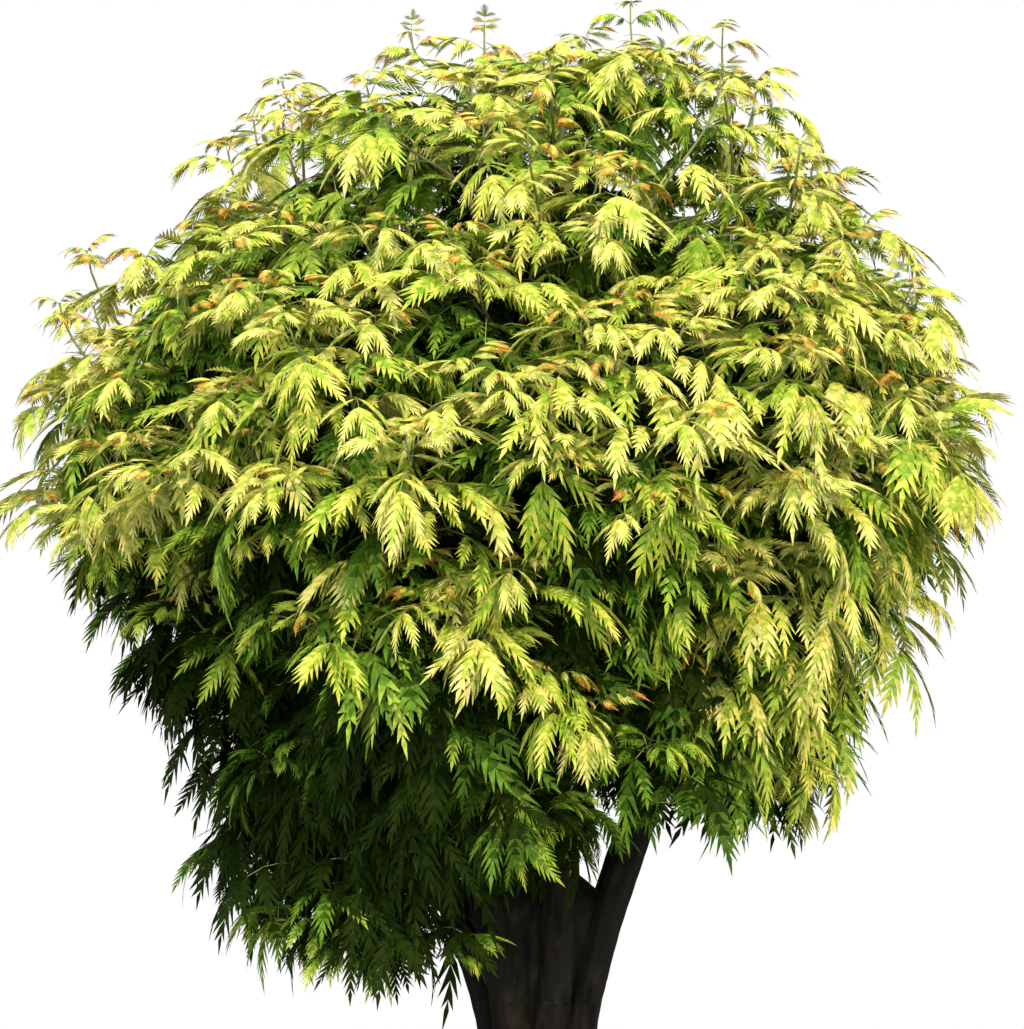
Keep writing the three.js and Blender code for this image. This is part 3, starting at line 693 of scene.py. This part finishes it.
def thin_tubes(lines, radii, sides):
    """Many thin tubes at once: lines of points, by tube and place, and the radius at each."""
    tangents = unit(np.gradient(lines, axis=1))
    level = unit(np.cross(tangents, np.array([0.31, 0.23, 0.92])))
    upright = np.cross(tangents, level)
    turn = np.arange(sides) * 2 * math.pi / sides
    ring = (
        level[:, :, None] * np.cos(turn)[:, None] + upright[:, :, None] * np.sin(turn)[:, None]
    )
    points = lines[:, :, None] + ring * radii[:, :, None, None]
    rows = lines.shape[1]
    faces = tube_faces(rows, sides)[None] + rows * sides * np.arange(len(lines))[:, None, None]
    return points.reshape(-1, 3), faces.reshape(-1, 3)


tip_polar, _, tips = spiral(TWIGS, TOP_INSET, SIDE_INSET)
names = list(masses)
sites = np.array([masses[name]["site"] for name in names])
nearest = np.linalg.norm(tips[:, None] - sites, axis=2).argmin(1)
twigs = []
for place, name in enumerate(names):
    controls, limb_radius = limbs[name]
    end = np.array(controls[-1])
    heading = unit(end - np.array(controls[-2]))
    mine = np.flatnonzero(nearest == place)
    drawn = tips[mine] + (masses[name]["site"] - tips[mine]) * TIP_PULL
    splay = np.arccos(np.clip(unit(drawn - end) @ heading, -1, 1))
    order = np.argsort(splay)
    leader = twig_controls(end, heading, drawn[order[0]], tip_polar[mine[order[0]]])
    twigs.append((leader, limb_radius))
    pairs = math.ceil((len(mine) - 1) / 2)
    forks = np.linspace(FIRST_FORK, LAST_FORK, pairs) if pairs > 1 else [FIRST_FORK]
    for rank, chosen in enumerate(order[:0:-1]):
        fork = forks[rank // 2]
        foot, ahead = bezier(leader, np.array([fork, fork + 0.01]))
        stem_way = unit(ahead - foot)
        towards = unit(drawn[chosen] - foot)
        outward = unit(towards - stem_way * np.dot(towards, stem_way))
        side_way = unit(towards + 0.5 * outward)
        side_twig = twig_controls(foot, side_way, drawn[chosen], tip_polar[mine[chosen]])
        twigs.append((side_twig, SIDE_TWIG_RADIUS))

twig_shares = np.linspace(0, TWIG_DRAWN, TWIG_PLACES)
twig_lines = np.array([bezier(controls, twig_shares) for controls, _ in twigs])
twig_feet = np.array([radius for _, radius in twigs])[:, None]
twig_radii = twig_feet + (TWIG_TIP_RADIUS - twig_feet) * twig_shares**0.7
young_bark = Finish("twig bark", 0.7)
young_bark.colour(young_bark.blend(young_bark.grain(30, 3).between(0.4, 0.6), TWIG_BARK, TWIG_GREEN))
young_bark.bump(young_bark.grain(320, 3, (1, 1, 0.5)), 0.0008)
foliage = [f"foliage_{name}" for name in names]
piece = mesh_piece("twigs", *thin_tubes(twig_lines, twig_radii, TWIG_SIDES))
piece.data.materials.append(young_bark.material)
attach(piece, "root")
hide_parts(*foliage)


# The same rule goes on to finer shoots, in three layers from the head's outside to its inside and
# a fourth inside its foot. Each forks from a twig near it and turns up towards the light, and a few
# at the top stand clear.
SHOOT_LAYERS = [
    # shoots, inset at the top, inset at the sides, pairs of leaves, how much greener and darker,
    # which paints shade inside the head, how many degrees down the layer starts, and one in how
    # many grows on the open top
    (340, 0.070, 0.085, 5, 0.0, 0, 1),
    (190, 0.230, 0.180, 4, 0.13, 0, 2),
    (90, 0.400, 0.300, 3, 0.5, 0, 1),
    (170, 0.400, 0.220, 3, 0.7, 112, 1),
]
LAYER_TURN = 1.3
SHOOT_SKIRT = math.radians(228), 1.2
OPEN_TOP = math.radians(50)
SHOOT_LENGTH = 0.18
# A shoot forks where it turns least. A metre too long or too short counts as this many radians.
LENGTH_COUNTS = 9
TIP_SCATTER = 0.026
SIDES_RAISED = 0.04
FOOT_LOWERED = 0.05
STANDS_CLEAR = 0.35
CLEAR_CLIMB = 0.02, 0.08
TOP_LEAN = 0.02, 0, 0
# The top falls off to the left of the place LEFT_STARTS, by LEFT_LOWER for each metre.
HIGHEST_TIP = 2.100
LEFT_LOWER = 0.13
LEFT_STARTS = 0.06
SHOOT_FOOT_RADIUS = 0.0032
SHOOT_TAPER = 0.0016
SHOOT_SIDES = 4
SHOOT_GREEN = (0.16, 0.20, 0.045, 1)
# The head isn't quite round: how much further or less its shoots grow on the left and the right.
GROWTH_ANGLES = np.radians([12, 30, 45, 64, 84, 98, 110, 122, 140])
LEFT_GROWTH = [-0.03, 0.00, -0.025, 0.045, -0.020, -0.090, -0.130, -0.110, 0.02]
RIGHT_GROWTH = [0.10, 0.00, 0.00, -0.005, 0.00, -0.075, -0.150, -0.030, -0.03]
SHOOT_PLACES = 9
FORK_SHARES = np.array([0.3, 0.44, 0.58, 0.72, 0.84])

layer_points, layer_polar, layer_azimuth, shoot_pairs, shoot_green_and_painted_shade = [], [], [], [], []
for layer, (count, top_inset, side_inset, pairs, green, start, one_in) in enumerate(SHOOT_LAYERS):
    turn = LAYER_TURN * layer
    polar, azimuth, points = spiral(count, top_inset, side_inset, turn, SHOOT_SKIRT)
    kept = (polar > OPEN_TOP) | (np.arange(count) % one_in == 0)
    kept &= polar > math.radians(start)
    layer_points.append(points[kept])
    layer_polar.append(polar[kept])
    layer_azimuth.append(azimuth[kept])
    shoot_pairs += [pairs] * kept.sum()
    shoot_green_and_painted_shade += [green] * kept.sum()
shoot_tips = np.concatenate(layer_points)
shoot_polar, shoot_azimuth = np.concatenate(layer_polar), np.concatenate(layer_azimuth)
shoot_pairs, shoot_green_and_painted_shade = np.array(shoot_pairs), np.array(shoot_green_and_painted_shade)
shoots = len(shoot_tips)
outermost = shoot_pairs == SHOOT_LAYERS[0][3]
outward = unit(shoot_tips - HEAD_CENTRE)
shoot_tips += chance.normal(0, TIP_SCATTER, (shoots, 3)) * (1, 1, 0.7)
outer_uneven = chance.normal(0.006, 0.026, shoots)
inner_uneven = np.abs(chance.normal(0, 0.03, shoots))
uneven = np.clip(np.where(outermost, outer_uneven, inner_uneven), -0.045, 0.08)
growth = np.maximum(0, -np.cos(shoot_azimuth)) * np.interp(shoot_polar, GROWTH_ANGLES, LEFT_GROWTH)
growth += np.maximum(0, np.cos(shoot_azimuth)) * np.interp(shoot_polar, GROWTH_ANGLES, RIGHT_GROWTH)
shoot_tips += outward * (growth - uneven)[:, None]
raised = down_the_head(shoot_polar, 45, 65) * (1 - down_the_head(shoot_polar, 100, 122))
shoot_tips += UP * SIDES_RAISED * raised[:, None]
shoot_tips -= UP * FOOT_LOWERED * down_the_head(shoot_polar, 130, 146)[:, None]
high = 1 - down_the_head(shoot_polar, 35, 85)
stands = (chance.uniform(0, 1, shoots) < STANDS_CLEAR * high) & outermost
climb = np.where(stands, chance.uniform(*CLEAR_CLIMB, shoots), 0)
shoot_tips += (0.35 * outward + UP) * climb[:, None] + high[:, None] * TOP_LEAN
highest = HIGHEST_TIP - LEFT_LOWER * np.maximum(0, LEFT_STARTS - shoot_tips[:, 0])
shoot_tips[:, 2] = np.minimum(shoot_tips[:, 2], highest)

fork_points = np.concatenate([bezier(controls, FORK_SHARES) for controls, _ in twigs])
fork_ends = np.concatenate([bezier(controls, FORK_SHARES + 0.02) for controls, _ in twigs])
fork_ways = unit(fork_ends - fork_points)
lean = 1.0 - 0.35 * down_the_head(shoot_polar, 95, 135)
arriving = outward * 0.75 + UP * lean[:, None] + chance.normal(0, 0.13, (shoots, 3))
arriving[stands] = outward[stands] * 0.22 + UP
arriving = unit(arriving)
shares = np.linspace(0, 1, SHOOT_PLACES)
shoot_lines = []
for tip, arrive in zip(shoot_tips, arriving):
    across_to = tip - fork_points
    spans = np.linalg.norm(across_to, axis=1)
    turns = np.arccos(np.clip((unit(across_to) * fork_ways).sum(1), -1, 1))
    best = (turns + LENGTH_COUNTS * np.abs(spans - SHOOT_LENGTH)).argmin()
    leave, span = unit(fork_ways[best] * 0.6 + unit(across_to[best])), spans[best]
    foot = fork_points[best]
    controls = [foot, foot + leave * span * 0.35, tip - arrive * span * 0.4, tip]
    shoot_lines.append(bezier(controls, shares))
shoot_lines = np.array(shoot_lines)
shoot_radii = SHOOT_FOOT_RADIUS - SHOOT_TAPER * np.repeat(shares[None], shoots, 0)
piece = mesh_piece("shoots", *thin_tubes(shoot_lines, shoot_radii, SHOOT_SIDES))
green_bark = Finish("green shoots", 0.55)
green_bark.colour(green_bark.blend(green_bark.grain(25, 2), TWIG_BARK, SHOOT_GREEN))
piece.data.materials.append(green_bark.material)
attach(piece, "root")
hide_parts(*foliage)


# Leaves stand on the shoots in opposite pairs, each pair square to the one below it. A leaf is an
# arching stalk with three pairs of leaflets and one at its end, and the old ones droop most.
LEAF_PAIRS = [
    # distance from the shoot's tip, size, slope at the stalk's foot and end in degrees, greener
    (0.003, 0.39, 62, 16, 0.00),
    (0.022, 0.66, 50, -5, 0.00),
    (0.060, 0.92, 36, -19, 0.10),
    (0.115, 1.04, 24, -31, 0.27),
    (0.185, 1.00, 12, -42, 0.42),
]
STALK_LENGTH = 0.100
STALK_PLACES = np.array([0, 0.34, 0.66, 1.0])
STALK_FOOT_RADIUS = 0.0013
STALK_TAPER = 0.0006
STALK_SIDES = 3
OLDEST_PAIR_SHARE = 0.55
CLEAR_SPACING = 1.5
PAIR_TURN_SPREAD = 0.15
SLOPE_SPREAD = 7
FALL_SPREAD = 10
SIZE_SPREAD = 0.85, 1.15
STEEPEST = math.radians(-74)
LOW_SAG = math.radians(16)
STALK_GREEN = (0.12, 0.17, 0.035, 1)
STALK_GOLD = (0.25, 0.26, 0.06, 1)

runs = np.linalg.norm(np.diff(shoot_lines[:, ::-1], axis=1), axis=2)
runs = np.concatenate([np.zeros((shoots, 1)), np.cumsum(runs, 1)], 1)
sag = LOW_SAG * down_the_head(shoot_polar, 92, 130)
leaf_rows = []
for shoot in range(shoots):
    line = shoot_lines[shoot, ::-1]
    turn = chance.uniform(0, 2 * math.pi)
    youngest, oldest = 5 - shoot_pairs[shoot], 5
    if outermost[shoot]:
        keeps_oldest = chance.uniform() < OLDEST_PAIR_SHARE and shoot_polar[shoot] > OPEN_TOP
        youngest, oldest = 0, 4 + keeps_oldest
    for distance, size, first, last, green in LEAF_PAIRS[youngest:oldest]:
        if stands[shoot]:
            distance, size = distance * CLEAR_SPACING, size * (0.66 + 0.3 * green)
        places = np.array([distance, distance + 0.01])
        spot, below = np.stack([np.interp(places, runs[shoot], line[:, i]) for i in range(3)], 1)
        stem_way = unit(spot - below)
        level = unit(np.cross(stem_way, (0.13, 0.21, 0.4)))
        square = np.cross(stem_way, level)
        turn += math.pi / 2 + chance.normal(0, PAIR_TURN_SPREAD)
        for side in (0, math.pi):
            radial = level * math.cos(turn + side) + square * math.sin(turn + side)
            rise = math.radians(first + chance.normal(0, SLOPE_SPREAD))
            rise += 0.5 * math.asin(radial[2])
            fall = math.radians(first - last + chance.normal(0, FALL_SPREAD))
            grown = size * chance.uniform(*SIZE_SPREAD)
            leaf_rows.append((*spot, *radial, rise - sag[shoot], fall, grown, green, shoot))
leaf_rows = np.array(leaf_rows)
leaf_base, radial = leaf_rows[:, 0:3], leaf_rows[:, 3:6]
rise, fall, leaf_size, leaf_age = leaf_rows[:, 6:10].T
leaf_shoot = leaf_rows[:, 10].astype(int)
leaves = len(leaf_rows)

flat_way = unit((radial + 0.2 * outward[leaf_shoot]) * (1, 1, 0))
slope = np.maximum(rise[:, None] - fall[:, None] * STALK_PLACES**1.2, STEEPEST)
stalk_ways = flat_way[:, None] * np.cos(slope)[..., None] + UP * np.sin(slope)[..., None]
stalk_steps = np.diff(STALK_PLACES)[:, None] * (stalk_ways[:, 1:] + stalk_ways[:, :-1]) / 2
stalk_runs = np.concatenate([np.zeros((leaves, 1, 3)), np.cumsum(stalk_steps, 1)], 1)
stalk_lines = leaf_base[:, None] + stalk_runs * (STALK_LENGTH * leaf_size)[:, None, None]
stalk_radii = (STALK_FOOT_RADIUS - STALK_TAPER * STALK_PLACES) * leaf_size[:, None] ** 0.5
piece = mesh_piece("leaf_stalks", *thin_tubes(stalk_lines, stalk_radii, STALK_SIDES))
stalk_skin = Finish("leaf stalks", 0.5)
stalk_skin.colour(stalk_skin.blend(stalk_skin.grain(20, 2), STALK_GREEN, STALK_GOLD))
piece.data.materials.append(stalk_skin.material)
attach(piece, "root")
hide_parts(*foliage)


# A leaflet is a thin blade cut nearly to its midrib into narrow lobes that point forward to a long
# drooping tip. It is gold in full light, with a greener middle, and green deeper in the head and
# under other leaves, where its greener shade is also painted darker as painted shade.
LEAFLET_LENGTH = 0.116
LOBE_WIDTHS = [0.105, 0.155, 0.180, 0.168, 0.130, 0.085]
LAST_LOBE = 0.76
# The share of the lobes, from the foot, that are greener out to their tips and along the midrib.
GREEN_FOOT = 0.3
GREEN_MIDRIB = 0.8
LOBE_SPREAD = 0.78, 1.16
ANGLE_SPREAD = 7
LENGTH_SPREAD = 0.88, 1.12
SHAPES = [
    # how far the midrib bends down and sideways, how steeply its halves fold up, and the breadth
    (0.26, 0.06, 0.30, 0.90),
    (0.42, -0.08, 0.42, 1.10),
    (0.58, 0.05, 0.22, 1.00),
    (0.34, -0.04, 0.52, 1.35),
    (0.48, 0.09, 0.34, 1.20),
    (0.20, -0.06, 0.40, 1.05),
]
LEAFLETS = [
    # place on the stalk, side, angle from the stalk in degrees, length, droop, how much greener
    (1, 1, 68, 0.72, 0.20, 0.12),
    (1, -1, 68, 0.72, 0.20, 0.12),
    (2, 1, 58, 0.88, 0.22, 0.05),
    (2, -1, 58, 0.88, 0.22, 0.05),
    (3, 1, 42, 0.90, 0.20, -0.03),
    (3, -1, 42, 0.90, 0.20, -0.03),
    (3, 0, 0, 1.00, 0.12, -0.08),
]
# The shades run from gold to green and grow darker along the way. deep_green and shade_green are much
# darker than a leaf's own colour: painted shade for the head's inside and its shaded side.
SHADES = [
    ("bronze", (0.44, 0.200, 0.030)),
    ("pale_gold", (0.442, 0.415, 0.100)),
    ("gold", (0.423, 0.405, 0.060)),
    ("lime_gold", (0.320, 0.365, 0.034)),
    ("lime", (0.190, 0.275, 0.020)),
    ("leaf_green", (0.082, 0.150, 0.010)),
    ("deep_green", (0.031, 0.068, 0.004)),
    ("shade_green", (0.009, 0.018, 0.001)),
]
LIT_WAY = np.array([0.19, -0.08, 0.78])
RIGHT_SIDE_LIGHT = 0.16
# Leaves that others hang over are greener and darker than the rest at the same height of the head;
# the darkness is painted shade from the leaves above them.
SKY_WAY = np.array([0.12, -0.15, 0.98])
LEAST_ABOVE = 0.012
COVER_HEIGHT = 0.20
COVER_RADIUS = 0.06
COVER_ANGLES = np.radians([12, 32, 50, 70, 90, 110, 140])
USUAL_COVER = [0.31, 0.56, 0.94, 1.43, 2.19, 2.44, 2.60]
# How much greener a leaf is anywhere, and for its age, depth, shaded side, cover and turn. Greener
# shades are also darker, so depth, the shaded side, cover and turn paint shade into the leaves.
BASE_GREEN = 0.24
AGE_GREEN = 0.65
DEPTH_GREEN_AND_SHADE = 0.35
SHADED_SIDE_GREEN = 0.72
COVER_GREEN_AND_SHADE = 0.30
TURN_GREEN_AND_SHADE = 0.14
# The lowest outer tips are painted lighter and more golden: painted light where the sun would reach
# them.
LOW_TIPS_GOLD_AND_LIT = 0.40
# Half of the youngest golden leaflets are bronze.
YOUNG_SIZE = 0.45
BRONZE_SHARE = 0.5
# A shade with more faces than this is made as several pieces.
MOST_FACES = 180000


def leaflet_blade(lobes, bend, sway, fold, breadth):
    """Corners of a leaflet one unit long, lying along x with its upper side to z."""
    feet = np.linspace(0, LAST_LOBE, lobes + 1)
    widths = np.interp(np.linspace(0, 5, lobes), range(6), LOBE_WIDTHS) * breadth
    corners = [(foot, 0.0) for foot in feet]
    for hand in (1, -1):
        # a lobe's tip reaches out and forward, and its belly lies about halfway there
        wide = widths * chance.uniform(*LOBE_SPREAD, lobes)
        corners += [(foot + 0.13 + 1.25 * width, hand * width) for foot, width in zip(feet, wide)]
        corners += [(foot + 0.06 + 0.50 * width, hand * width * 0.5) for foot, width in zip(feet, wide)]
    corners += [(LAST_LOBE + 0.09, 0.034), (LAST_LOBE + 0.09, -0.034), (1.0, 0.0)]
    x, y = np.array(corners).T
    z = fold * np.abs(y) - bend * x**2 - 1.9 * y**2
    return np.stack([x, y + sway * x**2, z], 1)


def leaflet_faces(lobes):
    """A leaflet's triangles: its golden tips, and those of its greener foot and midrib."""
    tips, middles = [], []
    for side in range(2):
        tip = lobes + 1 + 2 * lobes * side
        belly = tip + lobes
        for k in range(lobes):
            outer, inner = [belly + k, k + 1, tip + k], [k, k + 1, belly + k]
            green_outer, green_inner = k < lobes * GREEN_FOOT, k < lobes * GREEN_MIDRIB
            (middles if green_outer else tips).append(outer if side == 0 else outer[::-1])
            (middles if green_inner else tips).append(inner if side == 0 else inner[::-1])
    end = 5 * lobes + 1
    tips += [[lobes, end + 2, end], [lobes, end + 1, end + 2]]
    return np.array(tips), np.array(middles)


side_ways = np.cross(flat_way, UP)
inside = np.linalg.norm((leaf_base - HEAD_CENTRE) / (1, HEAD_DEPTH, 1), axis=1)
leaf_outward = unit(leaf_base - HEAD_CENTRE)
leaf_polar = np.arccos(leaf_outward[:, 2])
depth = np.interp(leaf_polar, REACH_ANGLES, REACH) - inside
light = leaf_outward @ LIT_WAY + RIGHT_SIDE_LIGHT * np.maximum(0, leaf_outward[:, 0])
leaf_middle = stalk_lines[:, 2:].mean(1)
leaf_cover = []
for middle in leaf_middle:
    apart = leaf_middle - middle
    above = apart @ SKY_WAY
    aside = (apart**2).sum(1) - above**2
    over = (above > LEAST_ABOVE) & (above < COVER_HEIGHT)
    leaf_cover.append((np.exp(-aside[over] / COVER_RADIUS**2) * leaf_size[over] ** 2).sum())
more_cover = np.log1p(leaf_cover) - np.interp(leaf_polar, COVER_ANGLES, USUAL_COVER)

# Each term moves a leaf to a greener shade, which is also darker: for depth, the inner layers, the side
# away from the sun and cover, this is painted shade.
greener_and_painted_shade = AGE_GREEN * leaf_age + shoot_green_and_painted_shade[leaf_shoot] + DEPTH_GREEN_AND_SHADE * soft_step(depth, 0.14, 0.30)
greener_and_painted_shade *= 0.60 + 0.40 * down_the_head(leaf_polar, 30, 75)
greener_and_painted_shade += BASE_GREEN + SHADED_SIDE_GREEN * (1 - soft_step(light, -0.36, -0.05))
greener_and_painted_shade += COVER_GREEN_AND_SHADE * np.clip(more_cover, -0.6, 0.8)
# Painted light: the lowest outer tips move to a lighter, more golden shade.
greener_and_painted_shade -= LOW_TIPS_GOLD_AND_LIT * down_the_head(leaf_polar, 133, 144) * (depth < 0.1)
greener_and_painted_shade += chance.normal(0, 0.06, leaves) + chance.normal(0, 0.10, shoots)[leaf_shoot]

corners_by_shade = [[] for _ in SHADES]
seen, old = outermost[leaf_shoot], leaf_age > 0.2
for lobes, chosen in ((6, seen & ~old), (5, seen & old), (4, ~seen)):
    blades = np.array([leaflet_blade(lobes, *shape) for shape in SHAPES])
    tip_faces, middle_faces = leaflet_faces(lobes)
    for place, side, angle, length, droop, green in LEAFLETS:
        keep = np.flatnonzero(chosen)
        count = len(keep)
        stalk_way, across = stalk_ways[keep, place], side_ways[keep]
        upper = np.cross(across, stalk_way)
        lean = np.radians(angle + chance.normal(0, ANGLE_SPREAD, count))[:, None]
        way = stalk_way * np.cos(lean) + across * side * np.sin(lean) - UP * droop
        way = unit(way + chance.normal(0, 0.09, (count, 3)))
        upper = upper + 0.3 * across * side + chance.normal(0, 0.18, (count, 3))
        beside = unit(np.cross(upper, way))
        axes = np.stack([way, beside, np.cross(way, beside)], 1)
        lengths = length * LEAFLET_LENGTH * leaf_size[keep] * chance.uniform(*LENGTH_SPREAD, count)
        blade = blades[chance.integers(0, len(SHAPES), count)]
        placed = np.einsum("nci,nij->ncj", blade, axes) * lengths[:, None, None]
        placed += stalk_lines[keep, place][:, None]
        # Leaflets whose upper side turns away from the sky get a greener, darker shade: painted shade.
        turned_away = TURN_GREEN_AND_SHADE * (0.55 - axes[:, 2] @ SKY_WAY)
        shade = greener_and_painted_shade[keep] + green + turned_away + chance.normal(0, 0.035, count)
        shade *= len(SHADES) - 1
        shade = 1 + np.clip(shade, 0, len(SHADES) - 2).astype(int)
        young = (leaf_size[keep] < YOUNG_SIZE) & (shade < 3)
        young &= chance.uniform(0, 1, count) < BRONZE_SHARE
        middle_shade = np.minimum(shade + 1, len(SHADES) - 1)
        shade[young], middle_shade[young] = 0, 2
        for number in range(len(SHADES)):
            for faces, shown in ((tip_faces, shade == number), (middle_faces, middle_shade == number)):
                corners_by_shade[number].append(placed[shown][:, faces].reshape(-1, 3))

for number, (name, colour) in enumerate(SHADES):
    leaf = Finish(f"{name} leaf", 0.58)
    leaf.surface.inputs["Specular IOR Level"].default_value = min(0.2, 0.02 + 0.5 * colour[1])
    tone = leaf.grain(85, 6).between(0.40, 0.58)
    dull = (colour[0] * 0.50, colour[1] * 0.70, colour[2] * 0.36, 1)
    bright = (colour[0] * 1.06, colour[1], colour[2] * 1.4, 1)
    leaf.colour(leaf.blend(tone, dull, bright))
    leaf.bump(leaf.grain(240, 2), 0.0012)
    corners = np.concatenate(corners_by_shade[number])
    lots = math.ceil(len(corners) / 3 / MOST_FACES)
    for lot, chosen in enumerate(np.array_split(corners.reshape(-1, 9), lots)):
        points, where = np.unique(chosen.reshape(-1, 3), axis=0, return_inverse=True)
        piece_name = f"leaves_{name}_{lot + 1}" if lots > 1 else f"leaves_{name}"
        piece = mesh_piece(piece_name, points, where.reshape(-1, 3), False)
        piece.data.materials.append(leaf.material)
        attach(piece, "root")
        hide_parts(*foliage)


# The studio: a pale round floor, a bright plain surround, a warm sun from the right in front and a
# wide soft light high over the camera. The camera looks up very slightly from in front of the shrub.
FLOOR_RADIUS = 2.3
FLOOR_THICKNESS = 0.02
FLOOR_CLEAR = 0.0005
FLOOR_GREY = (0.36, 0.36, 0.355, 1)
GROUND_LIGHT = (0.22, 0.22, 0.22, 1)
SKY_LIGHT = (0.95, 0.95, 0.95, 1)
BACKDROP_WHITE = (1, 1, 1, 1)
IMAGE_WIDTH, IMAGE_HEIGHT = 1024, 1029
METRES_A_PIXEL = 0.0016
FRAME_FOOT = 0.452
POT_AXIS_PIXEL = 538
CAMERA_DISTANCE = 7.0
CAMERA_HEIGHT = 1.0
SENSOR = 36

bpy.ops.mesh.primitive_cylinder_add(
    vertices=160,
    radius=FLOOR_RADIUS,
    depth=FLOOR_THICKNESS,
    location=(0, 0, -FLOOR_THICKNESS / 2 - FLOOR_CLEAR),
)
floor = bpy.context.object
floor.name = "floor"
pale = Finish("pale floor", 0.9)
pale.colour(FLOOR_GREY)
floor.data.materials.append(pale.material)

world = bpy.data.worlds.new("studio")
bpy.context.scene.world = world
world.use_nodes = True
studio = Board(world.node_tree)
direction = studio.node("ShaderNodeTexCoord", output="Generated")
upward = studio.node("ShaderNodeSeparateXYZ", {}, {0: direction}, "Z")
# White at the shrub's height, a little greyer above it and dark grey below.
band = upward.between(-0.24, -0.12) * (1 - upward.between(0.17, 0.34))
sky = studio.blend(upward.between(0, 0.2), GROUND_LIGHT, SKY_LIGHT)
shown = studio.blend(band, sky, BACKDROP_WHITE)
studio.feed(world.node_tree.nodes["Background"].inputs["Color"], shown)

for name, strength, tint, softness, azimuth, elevation in (
    ("sun", 3.7, (1, 0.76, 0.54), 1.5, -62, 34),
    ("overhead light", 4.9, (0.94, 1, 0.87), 100, -98, 36),
):
    lamp = bpy.data.objects.new(name, bpy.data.lights.new(name, "SUN"))
    bpy.context.scene.collection.objects.link(lamp)
    lamp.data.energy = strength
    lamp.data.color = tint
    lamp.data.angle = math.radians(softness)
    turn, lift = math.radians(azimuth), math.radians(elevation)
    level = math.cos(lift)
    way = Vector((math.cos(turn) * level, math.sin(turn) * level, math.sin(lift)))
    lamp.rotation_euler = way.to_track_quat("Z", "Y").to_euler()

camera = bpy.data.objects.new("camera", bpy.data.cameras.new("camera"))
bpy.context.scene.collection.objects.link(camera)
half_height = IMAGE_HEIGHT / 2 * METRES_A_PIXEL
looks_up = math.atan((FRAME_FOOT + half_height - CAMERA_HEIGHT) / CAMERA_DISTANCE)
camera.data.sensor_fit = "VERTICAL"
camera.data.sensor_height = SENSOR
camera.data.lens = SENSOR * CAMERA_DISTANCE / math.cos(looks_up) / (2 * half_height)
camera.location = (
    (IMAGE_WIDTH / 2 - POT_AXIS_PIXEL) * METRES_A_PIXEL,
    -CAMERA_DISTANCE,
    CAMERA_HEIGHT,
)
camera.rotation_euler = (math.pi / 2 + looks_up, 0, 0)
bpy.context.scene.camera = camera
bpy.context.scene.view_settings.view_transform = "Standard"
